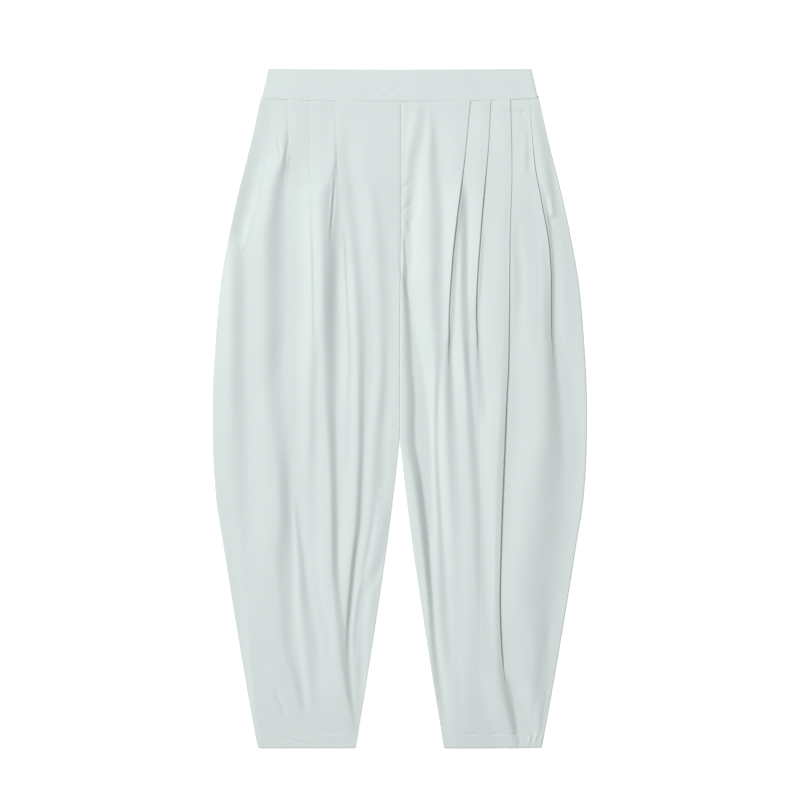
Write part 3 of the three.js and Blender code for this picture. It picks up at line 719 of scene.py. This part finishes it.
# Small creases: each runs from one point to another, with half its width and its rise
CREASES = table(
    "x y to_x to_y half rise",
    # puckers on the centre seam
    (2, 312, 16.5, 321.5, 3.1, -0.9),
    (2, 280, 19, 291.5, 3.4, -0.9),
    (4.5, 278, 19, 255, 3.7, -0.6),
    (4.5, 256.5, 11.5, 205.5, 4.5, -0.9),
    (4.5, 198.5, 14, 154.5, 4.0, -0.7),
    (5, 296.5, 18, 305, 5.7, 0.35),
    (5, 265, 16.5, 272.5, 4.3, 0.35),
    # tack marks on the outer pleat and at the waist seam
    (155.5, 420.5, 168.5, 417.5, 1.8, -1),
    (172, 416.5, 179, 420.5, 2.6, -0.7),
    (184.5, 436.5, 185.5, 430, 1.8, -0.8),
    # facing's edge under the side panel at the pocket
    (208, 299.5, 219.5, 300.5, 2.0, 0.5),
    (213.5, 299.5, 218, 270, 5.4, 1),
    (209.5, 269, 225, 269.5, 2.4, -1.1),
    (212.5, 265, 218.5, 256.5, 4.0, -0.5),
    # end of the other pocket's mouth
    (-208.5, 285, -221, 224, 3.4, 0.14),
    (-228.5, 231, -223.5, 219.5, 2.4, -0.5),
    (-218.5, 228.5, -223.5, 219.5, 2.4, -0.5),
    # beside the outer pleat
    (-173, 383, -167.5, 356, 2.8, -0.7),
    (-156, 386, -164, 346, 2.3, -0.5),
    # wrinkles inside the knee
    (-16.5, -124, -29, -134, 3.1, -0.5),
    (-20.5, -141, -30.5, -152.5, 3.1, -0.5),
    (-25, -159.5, -31, -172, 2.8, -0.4),
    # dimple above the hem
    (-178, -395, -160, -436.5, 5.7, -0.8),
    # rolled hem
    (-164.5, -464.5, -154, -470, 2.1, -0.8),
    (-157, -469, -137, -474.5, 2.1, -0.8),
    (-142.5, -473, -115.5, -478.5, 2.0, -0.6),
    (-110, -457.5, -84.5, -463.5, 4.3, -0.3),
    # stitches drawn in at the hem
    (90, -462, 113, -461, 2.0, -0.6),
    (130, -463.5, 142.5, -459.5, 1.8, -0.6),
    (154, -462.5, 169.5, -462, 2.3, -0.7),
    (172, -463.5, 169, -479, 2.1, -0.6),
    # ridges across the hem beside the side seam
    (179.5, -455, 184, -466, 2.1, 0.5),
    (182, -479, 186.5, -462.5, 2.4, 0.9),
    (190.5, -477.5, 196, -457.5, 2.4, 0.8),
    (199, -477.5, 202.5, -464.5, 2.0, 0.6),
    # faint pulls on the waistband
    (-47.5, 441.5, -19, 458.5, 4.3, -0.3),
    (-22, 441.5, 5, 461, 4.3, -0.3),
    (-141.5, 447, -98.5, 454, 4.3, 0.1),
    (74.5, 445.5, 108.5, 452.5, 4.3, 0.1),
)


def along(rows, column, y):
    """A column's value at each height y: smooth between rows, level beyond its ends."""
    heights, values = rows["y"][::-1], rows[column][::-1]
    slope = np.diff(values) / np.diff(heights)
    tangent = np.empty_like(values)
    tangent[0], tangent[-1] = slope[0], slope[-1]
    before, after = slope[:-1], slope[1:]
    same = before * after > 0
    total = np.where(same, before + after, 1)
    tangent[1:-1] = np.where(same, 2 * before * after / total, 0)
    y = np.clip(y, heights[0], heights[-1])
    i = np.clip(np.searchsorted(heights, y) - 1, 0, len(slope) - 1)
    span = heights[i + 1] - heights[i]
    t = (y - heights[i]) / span
    rise = values[i + 1] - values[i]
    ease = rise * t * t * (3 - 2 * t)
    return values[i] + ease + span * t * (1 - t) * (tangent[i] * (1 - t) - tangent[i + 1] * t)


def smooth(v, low=0.0, high=1.0):
    """0 up to low, 1 from high on, and an even S between them."""
    t = np.clip((v - low) / (high - low), 0, 1)
    return t * t * (3 - 2 * t)


def mix(a, b, t):
    """From a to b by the share t."""
    return a + (b - a) * t


def inner_edge(y):
    """How far a leg's inner edge is from the centre line."""
    share = np.maximum(0, LEGS_OPEN - y) / (LEGS_OPEN - HEM)
    return LEG_GAP_HALF * share**LEG_GAP_CURVE


def turn_at(y):
    """0 along the centre seam, 1 where the inner edge is rounded over."""
    return smooth(CROTCH + TURN_LENGTH / 2 - y, 0, TURN_LENGTH)


def seam_bend(x, y):
    """How far the legs' upper ends rise with the waist seam."""
    fade = smooth(y, SEAM_Y - SEAM_BEND_FADES, SEAM_Y)
    return SEAM_RISE * np.abs(x / SEAM_HALF) ** 3 * fade


def centre_line(y):
    """Where the centre seam and the crotch lie, a little off the middle."""
    off = mix(CENTRE_OFF_HEM, CENTRE_OFF_WAIST, smooth(y, CENTRE_LOW, CENTRE_HIGH))
    return off * smooth(y, CENTRE_ENDS, CENTRE_STARTS)


# Two crossing waves in each row: their rise, and for each wave the lengths that x and y are divided
# by, and its start
UNEVEN = table(
    "rise x y start cross_x cross_y cross_start",
    (0.16, 47, 61, 1.3, 23, -210, 0.4),
    (0.06, -15, 27, 2.1, 11, 95, 0.9),
)


def uneven(x, y):
    """Slight unevenness of cloth that was laid down by hand."""
    total = 0
    for rise, x1, y1, start1, x2, y2, start2 in zip(*UNEVEN.values()):
        total = total + rise * np.sin(y / y1 + x / x1 + start1) * np.sin(x / x2 + y / y2 + start2)
    return total


def place_x(leg, x, y):
    """Where a leg's point lies, with the wearer's left positive."""
    return leg["side"] * x + centre_line(y) * smooth(-x, -CENTRE_REACH, 0)


def crease_rise(x, y):
    """How far the small creases raise the cloth. Each runs along a line and fades to its ends."""
    total = 0 * x
    for x1, y1, x2, y2, half, rise in zip(*CREASES.values()):
        length_squared = (x2 - x1) ** 2 + (y2 - y1) ** 2
        t = np.clip(((x - x1) * (x2 - x1) + (y - y1) * (y2 - y1)) / length_squared, 0, 1)
        off = np.hypot(x - mix(x1, x2, t), y - mix(y1, y2, t)) / half
        ends = 1 - (2 * t - 1) ** 4
        total = total + rise * np.clip(1 - off * off, 0, 1) ** 2 * ends
    return total


def settle(height):
    """A height that never goes below the layer the cloth rests on, and settles gently on it."""
    return (height + np.hypot(height, REST_SOFTNESS)) / 2


def lift(leg, x, y, creased=True):
    """How far loft, soft folds and creases raise the cloth at points x and heights y."""
    loft = along(PUFF, "loft", y) * (1 + leg["tilt"] * (0.5 - x / WIDEST))
    total = loft + uneven(leg["side"] * x, y) * np.minimum(1, loft)
    for rows in leg["falls"]:
        v = leg["side"] * (x - along(rows, "x", y))
        half = along(rows, "half", y)
        steep = np.sin(np.pi / 2 * np.clip(v / half, -1, 1))
        fade = 1 - smooth(np.abs(v) - half, 0, rows["reach"])
        total = total - along(rows, "step", y) / 2 * steep * fade
    if creased:
        total = total + crease_rise(place_x(leg, x, y), y)
    return settle(total)


TURN_STEPS = 6
LEVEL_SINE = 0.01  # below this sine a lap lies level
NO_LIMIT = 1000  # stands for a lap that nothing limits


def pleat_at(rows, y):
    """A pleat's points at each height: columns of x and of z, and where it starts and ends."""
    turn = np.radians(along(rows, "turn", y))
    drop = along(rows, "drop", y) * along(PUFF, "press", y)
    edge = along(rows, "x", y)
    down = 1 - np.cos(turn)
    flat = np.abs(np.sin(turn)) < LEVEL_SINE
    safe_sine = np.where(flat, 1, np.sin(turn))
    room = np.where(flat, NO_LIMIT, (drop - 2 * LEAST_BEND * down) / safe_sine)
    lap = np.maximum(LEAST_LAP, np.minimum(along(rows, "lap", y), room))
    radius = (drop - np.where(flat, 0, lap * np.sin(turn))) / (2 * down)
    start = edge - radius * np.where(turn > np.pi / 2, 1, np.sin(turn))
    end = start + 2 * radius * np.sin(turn) + lap * np.cos(turn)
    steps = np.arange(TURN_STEPS + 1) / TURN_STEPS
    a = turn[:, None] * steps
    r = radius[:, None]
    over_x = start[:, None] + r * np.sin(a)
    over_z = drop[:, None] - r * (1 - np.cos(a))
    under_x = (end[:, None] - r * np.sin(a))[:, ::-1]
    under_z = (r * (1 - np.cos(a)))[:, ::-1]
    return {
        "x": np.hstack([over_x, under_x]),
        "z": np.hstack([over_z, under_z]),
        "drop": drop,
        "start": start,
        "hidden": np.maximum(0, -lap * np.cos(turn)),
        "after": np.maximum(end, edge),
    }


EDGE_STEPS = 5
EDGE_ROUND = 0.5  # how far a leg's inner edge is rounded over, seen from above
FLAT_STEP = 0.9  # between a leg's inmost columns where it isn't rolled


def inner_roll(y, height, end):
    """The columns of a leg's inner edge, from the height end to height, and how far they reach."""
    turn = turn_at(y)
    angle = turn * np.pi / 2
    radius = np.abs(height - end)
    way = np.sign(height - end)
    x = inner_edge(y) + CLOTH / 2 * np.sin(angle) + INSEAM_CLEAR
    steps = np.arange(EDGE_STEPS)
    a = angle[:, None] * (1 - steps / EDGE_STEPS)
    spare = (1 - turn)[:, None] * FLAT_STEP * steps
    width = np.minimum(radius, EDGE_ROUND)
    xs = x[:, None] + width[:, None] * (np.sin(angle)[:, None] - np.sin(a)) + spare
    zs = height[:, None] - (way * radius)[:, None] * (1 - np.cos(a))
    reach = x + width * np.sin(angle) + (1 - turn) * FLAT_STEP * EDGE_STEPS
    return xs, zs, reach


REGION_STEPS = [42, 26, 20, 26]  # columns from the centre to each pleat, and to the side seam
OVER_LAP = np.array([0.5, 0.8, 0.93])  # columns over the cloth hidden under a pleat, as shares
OVER_MARGIN = 0.6  # how far these columns reach beyond it
LEAST_OVER = 1.2  # and the least length that they cover
AFTER_PLEAT = 1.0  # from a pleat's visible edge to the next column
SEAM_SHARE = 0.4  # share of the last region that rises to the side seam
SEAM_SINK = 0.85  # how far a front sinks to the centre seam
SINK_WIDTH = {-1: 4.6, 1: 1.5}  # and over what width, on each side
LEAST_SINK = 0.3  # share of that sink at the crotch
SINK_LOW = 20  # the heights between which the share grows to the whole
SINK_HIGH = 120
SINK_STARTS = 9  # the length below the waist over which the sink starts
WAIST_LIFT = 0.6  # how far a front's inner edge is above its lowest at the waist
WAIST_SETTLES = 70  # and the length over which it reaches the centre seam's height
FLAT_FOLD_LIFT = 0.7  # how far the inner edge is above the inseam where there is no loft
FULL_LOFT = 4  # the loft from which it is as high as its leg says


def front_grid(leg, y):
    """Middle surface of a front leg: x and z at each height and column."""
    pleats = [pleat_at(rows, y) for rows in leg["pleats"]]
    seam = along(leg["seam"], "x", y) - along(leg["seam"], "gape", y)
    turn = turn_at(y)
    loft_share = np.minimum(1, along(PUFF, "loft", y) / FULL_LOFT)
    folded = mix(INSEAM_LIFT + FLAT_FOLD_LIFT, leg["inside"], loft_share)
    seam_lift = mix(FRONT_LOW + WAIST_LIFT, CENTRE_SEAM_LIFT, smooth(SEAM_Y - y, 0, WAIST_SETTLES))
    height = mix(seam_lift, folded, turn)
    roll_x, roll_z, reach = inner_roll(y, height, np.full_like(y, INSEAM_LIFT + INSEAM_SPARE))
    sink = np.clip(1 - roll_x / SINK_WIDTH[leg["side"]], 0, 1) ** 2
    depth = mix(LEAST_SINK, 1, smooth(y, SINK_LOW, SINK_HIGH)) * smooth(SEAM_Y - y, 0, SINK_STARTS)
    sink = SEAM_SINK * sink * depth[:, None]
    rows = np.broadcast_to(y[:, None], roll_x.shape)
    pucker = crease_rise(place_x(leg, roll_x, rows), rows)
    xs = [roll_x]
    zs = [roll_z + (pucker - sink) * (1 - turn)[:, None]]
    start = reach
    start_height = height - FRONT_LOW - lift(leg, start, y, creased=False)
    for region, steps in enumerate(REGION_STEPS):
        last = region == len(pleats)
        if last:
            end = seam
            end_height = np.full_like(y, SIDE_SEAM_BASE - FRONT_LOW)
        else:
            pleat = pleats[region]
            end = pleat["start"] - np.maximum(pleat["hidden"] + OVER_MARGIN, LEAST_OVER)
            end_height = pleat["drop"]
        share = np.arange(steps + 1) / steps
        x = start[:, None] + (end - start)[:, None] * share
        settled = smooth(share, 0, SEAM_SHARE if last else 1)
        rise = settled if last else share
        z = start_height[:, None] * (1 - settled) + end_height[:, None] * rise
        xs.append(x)
        zs.append(FRONT_LOW + settle(z + lift(leg, x, np.broadcast_to(y[:, None], x.shape))))
        if last:
            break
        over = end[:, None] + (pleat["start"] - end)[:, None] * OVER_LAP
        x = np.hstack([over, pleat["x"]])
        z = np.hstack([pleat["drop"][:, None] + 0 * over, pleat["z"]])
        xs.append(x)
        zs.append(FRONT_LOW + settle(z + lift(leg, x, np.broadcast_to(y[:, None], x.shape))))
        start = pleat["after"] + AFTER_PLEAT
        start_height = np.zeros_like(y)
    return np.hstack(xs), np.hstack(zs)


FOLD_ROUND = 1.3  # how far the outer fold is rounded over, seen from above
FOLD_STEPS = 12
LEAST_WRAP = 1.3  # the wrapped part stays above the layer on the floor
WRAP_SOFTNESS = 0.3  # and settles on that height gently
GROUND_STEPS = 30
WRAP_STEPS = 24


def back_grid(leg, y):
    """Middle surface of a back leg: flat on the floor, round the outer fold and over the top."""
    ground = np.full_like(y, GROUND)
    roll_x, roll_z, reach = inner_roll(y, ground, np.full_like(y, INSEAM_LIFT - INSEAM_SPARE))
    radius = along(PUFF, leg["fold"], y)
    width = np.minimum(radius, FOLD_ROUND)
    centre = along(OUTLINE, "x", y) - CLOTH / 2 - width
    share = np.arange(GROUND_STEPS + 1) / GROUND_STEPS
    flat_x = reach[:, None] + (centre - reach)[:, None] * share
    flat_z = np.full_like(flat_x, GROUND)
    a = np.pi * np.arange(1, FOLD_STEPS + 1) / FOLD_STEPS
    fold_x = centre[:, None] + width[:, None] * np.sin(a)
    fold_z = GROUND + radius[:, None] * (1 - np.cos(a))
    seam = along(leg["seam"], "x", y)
    share = np.arange(1, WRAP_STEPS + 1) / WRAP_STEPS
    wrap_x = mix(centre[:, None], seam[:, None], share)
    top = GROUND + 2 * radius - lift(leg, centre, y)
    base = mix(top[:, None], SIDE_SEAM_BASE, smooth(share))
    wrap_z = base + lift(leg, wrap_x, np.broadcast_to(y[:, None], wrap_x.shape))
    wrap_z = (wrap_z + LEAST_WRAP + np.hypot(wrap_z - LEAST_WRAP, WRAP_SOFTNESS)) / 2
    return np.hstack([roll_x, flat_x, fold_x, wrap_x]), np.hstack([roll_z, flat_z, fold_z, wrap_z])


SHARP_DEGREES = 65  # edges that turn further stay sharp
LEAST_LENGTH = 1e-6  # a shorter normal points straight up


def closed_wall(name, x, y, z, thickness):
    """A closed cloth wall round a middle surface, given as grids in millimetres."""
    middle = np.stack([x, y, z], axis=-1)
    down = np.gradient(middle, axis=0)
    across = np.gradient(middle, axis=1)
    normal = np.cross(down, across)
    length = np.linalg.norm(normal, axis=-1, keepdims=True)
    normal = np.where(length > LEAST_LENGTH, normal / np.maximum(length, LEAST_LENGTH), (0, 0, 1))
    half = thickness[..., None] / 2
    rows, columns = x.shape
    outside = (middle + normal * half).reshape(-1, 3)
    inside = (middle - normal * half).reshape(-1, 3)
    points = np.concatenate([outside, inside])
    index = np.arange(rows * columns).reshape(rows, columns)
    under = index + rows * columns
    corners = [index[:-1, :-1], index[1:, :-1], index[1:, 1:], index[:-1, 1:]]
    top = np.stack([c.ravel() for c in corners], axis=-1)
    bottom = top[:, ::-1] + rows * columns
    border = np.concatenate([index[:, 0], index[-1, 1:], index[-2::-1, -1], index[0, -2::-1]])
    other = np.concatenate([under[:, 0], under[-1, 1:], under[-2::-1, -1], under[0, -2::-1]])
    rim = np.stack([border[:-1], other[:-1], other[1:], border[1:]], axis=-1)
    faces = np.concatenate([top, bottom, rim])
    mesh = bpy.data.meshes.new(name)
    mesh.vertices.add(len(points))
    mesh.vertices.foreach_set("co", (points * MM).ravel())
    mesh.loops.add(faces.size)
    mesh.loops.foreach_set("vertex_index", faces.ravel())
    mesh.polygons.add(len(faces))
    mesh.polygons.foreach_set("loop_start", np.arange(len(faces)) * 4)
    mesh.polygons.foreach_set("loop_total", np.full(len(faces), 4))
    mesh.update(calc_edges=True)
    mesh.validate()
    mesh.shade_smooth()
    mesh.set_sharp_from_angle(angle=math.radians(SHARP_DEGREES))
    piece = bpy.data.objects.new(name, mesh)
    bpy.context.scene.collection.objects.link(piece)
    return piece


# Materials
def node(tree, kind, **values):
    """A new node with its settings, or the values of its inputs, by name."""
    made = tree.nodes.new(kind)
    for key, value in values.items():
        if hasattr(made, key):
            setattr(made, key, value)
        else:
            made.inputs[key.replace("_", " ")].default_value = value
    return made


ROUGHNESS_SPREAD = 0.05  # how far the roughness changes each way, from place to place


def crepe(name, base, other, roughness):
    """Satin crepe: a fine weave with a pebbled twist, a soft sheen and slight changes of tone."""
    material = bpy.data.materials.new(name)
    material.use_nodes = True
    tree = material.node_tree
    shader = tree.nodes["Principled BSDF"]
    shader.inputs["Sheen Weight"].default_value = 0.25
    shader.inputs["Sheen Roughness"].default_value = 0.4
    shader.inputs["Specular IOR Level"].default_value = 0.28
    place = node(tree, "ShaderNodeTexCoord")
    link = tree.links.new

    tone = node(tree, "ShaderNodeTexNoise", Scale=14.0, Detail=3.0)
    link(place.outputs["Object"], tone.inputs["Vector"])
    colour = node(tree, "ShaderNodeMix", data_type="RGBA")
    colour.inputs["A"].default_value = (*base, 1)
    colour.inputs["B"].default_value = (*other, 1)
    link(tone.outputs["Fac"], colour.inputs["Factor"])
    link(colour.outputs["Result"], shader.inputs["Base Color"])

    gloss = node(tree, "ShaderNodeTexNoise", Scale=90.0, Detail=2.0)
    link(place.outputs["Object"], gloss.inputs["Vector"])
    rough = node(tree, "ShaderNodeMapRange")
    rough.inputs["To Min"].default_value = roughness - ROUGHNESS_SPREAD
    rough.inputs["To Max"].default_value = roughness + ROUGHNESS_SPREAD
    link(gloss.outputs["Fac"], rough.inputs["Value"])
    link(rough.outputs["Result"], shader.inputs["Roughness"])

    warp = node(tree, "ShaderNodeTexWave", Scale=420.0, Distortion=0.6, bands_direction="X")
    weft = node(tree, "ShaderNodeTexWave", Scale=360.0, Distortion=0.6, bands_direction="Y")
    pebble = node(tree, "ShaderNodeTexNoise", Scale=1300.0, Detail=1.0)
    crumple = node(tree, "ShaderNodeTexNoise", Scale=34.0, Detail=2.0)
    threads = node(tree, "ShaderNodeMath", operation="MULTIPLY")
    link(warp.outputs["Fac"], threads.inputs[0])
    link(weft.outputs["Fac"], threads.inputs[1])
    relief = node(tree, "ShaderNodeMath", operation="ADD")
    link(threads.outputs[0], relief.inputs[0])
    link(pebble.outputs["Fac"], relief.inputs[1])
    for texture in (warp, weft, pebble, crumple):
        link(place.outputs["Object"], texture.inputs["Vector"])
    fine = node(tree, "ShaderNodeBump", Strength=0.35, Distance=0.00006)
    link(relief.outputs[0], fine.inputs["Height"])
    soft = node(tree, "ShaderNodeBump", Strength=0.5, Distance=0.0006)
    link(crumple.outputs["Fac"], soft.inputs["Height"])
    link(fine.outputs["Normal"], soft.inputs["Normal"])
    link(soft.outputs["Normal"], shader.inputs["Normal"])
    return material


CREPE = crepe("crepe", (0.545, 0.605, 0.594), (0.566, 0.625, 0.613), 0.72)
FACING = crepe("pocket_facing", (0.55, 0.62, 0.61), (0.58, 0.65, 0.635), 0.62)


def dress(piece, material, node_name):
    """Give a piece its material, hang it from the root body and hide the solid that it stands for.
    """
    piece.data.materials.append(material)
    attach(piece, "root")
    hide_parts(node_name)


# Leg pieces: the distance between rows, from each height down
ROWS = table(
    "y step",
    (SEAM_Y, 0.75),
    (432, 1.3),
    (417, 3.9),
    (322, 2.6),
    (196, 3.9),
    (-455, 1.3),
)


def heights(top):
    """Rows from the waist to the hem, closer together where the cloth changes most."""
    starts = np.append(ROWS["y"], HEM)
    starts[0] = top
    parts = []
    for start, end, step in zip(starts, starts[1:], ROWS["step"]):
        parts.append(np.arange(start, end + step / 2, -step))
    return np.append(np.concatenate(parts), HEM)


HEM_EDGE = 1.3  # half the width over which the hem thickens
END_LENGTH = 0.9  # the length over which the hem's edge thins
END_SHARE = 0.45  # to this share
END_DROP = 0.35  # and sinks by this much
RISE_STARTS = 26  # the legs rise to the waistband from so far below the seam
RISE_ENDS = 2  # to so far below it
LOW_LAYER = 0.8  # layers up to this height stay down
HIGH_LAYER = 1.8  # and layers from this height on rise in full
TUCK_STARTS = -0.9  # the legs sink under the waistband from here, past the seam
TUCK_ENDS = 1.6


def sweep(name, leg, grid, top):
    """A leg piece: the wall round a grid's middle surface, from the waist to the hem."""
    y = heights(top)
    x, z = grid(leg, y)
    rows = np.broadcast_to(y[:, None], x.shape)
    hem = smooth(HEM + HEM_DEPTH - rows, -HEM_EDGE, HEM_EDGE)
    end = smooth(rows - HEM, 0, END_LENGTH)
    thickness = mix(CLOTH, HEM_CLOTH, hem) * mix(END_SHARE, 1, end)
    near_band = smooth(rows, SEAM_Y - RISE_STARTS, SEAM_Y - RISE_ENDS)
    raised = z + WAIST_RISE * near_band * smooth(z, LOW_LAYER, HIGH_LAYER)
    tuck = smooth(rows - SEAM_Y, TUCK_STARTS, TUCK_ENDS)
    z = mix(raised, np.minimum(z, TUCK_TOP), tuck) - END_DROP * (1 - end)
    spot = (place_x(leg, x, rows), rows + seam_bend(x, rows), z)
    if leg["side"] < 0:
        spot = tuple(part[:, ::-1] for part in spot)
        thickness = thickness[:, ::-1]
    return closed_wall(name, *spot, thickness)


for name, leg in LEGS.items():
    front = sweep(f"front_{name}_cloth", leg, front_grid, SEAM_Y + TUCK)
    dress(front, CREPE, f"front_{name}")
    back = sweep(f"back_{name}_cloth", leg, back_grid, SEAM_Y + TUCK)
    dress(back, CREPE, f"back_{name}")


POCKET_ROWS = 86
POCKET_STEP = 2.0  # between its rows
POCKET_COLUMNS = 13
POCKET_CLEAR = 3  # least distance to the outer fold
POCKET_HEIGHT = 1.2
POCKET_WAVE = 0.05  # rise of its slight waves
POCKET_WAVE_LENGTH = 9


def pocket(name, leg):
    """A pocket's facing: a strip under its mouth, between front and back."""
    y = SEAM_Y - POCKET_STEP * np.arange(POCKET_ROWS)
    seam = along(leg["seam"], "x", y)
    outer = np.minimum(seam + POCKET_UNDER_BACK, along(OUTLINE, "x", y) - POCKET_CLEAR)
    share = np.linspace(0, 1, POCKET_COLUMNS)
    x = mix((seam - POCKET_UNDER_FRONT)[:, None], outer[:, None], share)
    rows = np.broadcast_to(y[:, None], x.shape)
    z = POCKET_HEIGHT + POCKET_WAVE * np.sin(rows / POCKET_WAVE_LENGTH)
    spot = (leg["side"] * x, rows + seam_bend(x, rows), z)
    thickness = np.full(x.shape, CLOTH)
    if leg["side"] < 0:
        spot = tuple(part[:, ::-1] for part in spot)
    piece = closed_wall(f"pocket_{name}_cloth", *spot, thickness)
    dress(piece, FACING, f"pocket_{name}")


for name, leg in LEGS.items():
    pocket(name, leg)


# Waistband
BAND_BELOW_SEAM = 0.4  # how far its lower edge covers the seam
BAND_ROUND = 0.7  # how far its long edges are rounded over
BAND_ROWS = 22
BAND_COLUMNS = 130
BAND_EDGE_STEPS = 6
BAND_FOOT = 440.9  # the height at which its lower end meets the outline
BAND_SMOOTH = 8  # it lies smooth this close to its long edges
BAND_CLEAR = 0.05  # between its back and the floor
BAND_SPARE = 0.1  # how far front and back stop short of each other
BAND_WAVE = 0.12  # rise of its long waves
BAND_PUCKER = 0.1  # and of its short ones


def band_ripple(x, y, from_edge):
    """Slight waves of the waistband between its long edges."""
    long_wave = BAND_WAVE * np.sin(x / 31 + 0.7) * np.sin(y / 17)
    short_wave = BAND_PUCKER * np.sin((x + y) / 9.5)
    return smooth(from_edge, 0, BAND_SMOOTH) * (long_wave + short_wave)


def band(name, node_name, height, end):
    """One wall of the waistband, rolled down or up at its sides to meet the other."""
    low = SEAM_Y - BAND_BELOW_SEAM
    depth = TOP - low
    edge_rows = BAND_ROUND * (1 - np.cos(np.linspace(0, np.pi / 2, BAND_EDGE_STEPS)))
    inner_rows = np.linspace(BAND_ROUND, depth - BAND_ROUND, BAND_ROWS)[1:-1]
    down = np.concatenate([edge_rows, inner_rows, (depth - edge_rows)[::-1]])
    foot_half = along(OUTLINE, "x", np.array([BAND_FOOT]))[0]
    half = mix(WAIST_HALF, foot_half, down / depth)
    radius = abs(height - end)
    way = np.sign(height - end)
    inside = half - BAND_CLOTH / 2 - radius
    a = np.pi / 2 * (1 - np.arange(BAND_EDGE_STEPS) / BAND_EDGE_STEPS)
    across = np.linspace(1, -1, BAND_COLUMNS)
    left = inside[:, None] + radius * np.sin(a)
    x = np.hstack([left, inside[:, None] * across, -left[:, ::-1]])
    side_z = np.broadcast_to(height - way * radius * (1 - np.cos(a)), left.shape)
    z = np.hstack([side_z, np.full((len(half), len(across)), height), side_z[:, ::-1]])
    upper = TOP - TOP_DIP * (1 - np.minimum(1, (x / WAIST_HALF) ** 2))
    lower = low + SEAM_RISE * np.abs(x / SEAM_HALF) ** 3
    y = mix(upper, lower, down[:, None] / depth)
    from_edge = np.minimum(down, depth - down)[:, None]
    bow = np.sqrt(np.clip(1 - (1 - np.minimum(1, from_edge / BAND_ROUND)) ** 2, 0, 1))
    thickness = np.maximum(LEAST_WALL, BAND_CLOTH * bow) + 0 * x
    if way > 0:
        z = z + crease_rise(x, y) + band_ripple(x, y, from_edge)
    piece = closed_wall(name, x[:, ::-1], y[:, ::-1], z[:, ::-1], thickness)
    dress(piece, CREPE, node_name)


BAND_GROUND = BAND_CLOTH / 2 + BAND_CLEAR
BAND_MEET = (BAND_LIFT + GROUND + BAND_CLOTH / 2) / 2
band(
    "waistband_front_cloth",
    "waistband_front",
    height=BAND_LIFT,
    end=BAND_MEET + BAND_SPARE,
)
band(
    "waistband_back_cloth",
    "waistband_back",
    height=BAND_GROUND,
    end=BAND_MEET - BAND_SPARE,
)


# Floor, light and camera, in metres
FLOOR_HALF = 40.0


def floor():
    """A plain pale floor, a little bright of itself, so that shadows on it stay soft."""
    mesh = bpy.data.meshes.new("floor")
    size = FLOOR_HALF
    corners = [(-size, -size, 0), (size, -size, 0), (size, size, 0), (-size, size, 0)]
    mesh.from_pydata(corners, [], [(0, 1, 2, 3)])
    piece = bpy.data.objects.new("floor", mesh)
    bpy.context.scene.collection.objects.link(piece)
    material = bpy.data.materials.new("floor")
    material.use_nodes = True
    shader = material.node_tree.nodes["Principled BSDF"]
    shader.inputs["Base Color"].default_value = (0.97, 0.97, 0.97, 1)
    shader.inputs["Roughness"].default_value = 0.9
    shader.inputs["Specular IOR Level"].default_value = 0.1
    shader.inputs["Emission Color"].default_value = (1, 1, 1, 1)
    shader.inputs["Emission Strength"].default_value = 0.5
    mesh.materials.append(material)


def light(name, place, size, power):
    """A round lamp that points at the origin."""
    data = bpy.data.lights.new(name, "AREA")
    data.shape = "DISK"
    data.size = size
    data.energy = power
    lamp = bpy.data.objects.new(name, data)
    bpy.context.scene.collection.objects.link(lamp)
    lamp.location = place
    away = -np.array(place)
    flat = math.hypot(away[0], away[1])
    lamp.rotation_euler = (math.atan2(flat, -away[2]), 0, math.atan2(away[1], away[0]) - math.pi / 2)


floor()
light("key", place=(-5.3, 2.1, 5.7), size=2.9, power=672)
light("fill", place=(1.5, 2.1, 2.6), size=1.6, power=22)
world = bpy.data.worlds.new("studio")
world.use_nodes = True
world.node_tree.nodes["Background"].inputs["Color"].default_value = (1, 1, 1, 1)
world.node_tree.nodes["Background"].inputs["Strength"].default_value = 0.34
bpy.context.scene.world = world
bpy.context.scene.view_settings.view_transform = "Standard"

# The picture is 800 pixels wide at 1.42 mm each, and its middle lies a little off the origin
PICTURE = 800 * 1.42 * MM
PICTURE_MIDDLE = (0.7 * MM, 12.4 * MM)
CAMERA_HEIGHT = 5.0
SENSOR = 36
camera_data = bpy.data.cameras.new("camera")
camera_data.sensor_width = SENSOR
camera_data.lens = camera_data.sensor_width * CAMERA_HEIGHT / PICTURE
camera = bpy.data.objects.new("camera", camera_data)
camera.location = (*PICTURE_MIDDLE, CAMERA_HEIGHT)
bpy.context.scene.collection.objects.link(camera)
bpy.context.scene.camera = camera
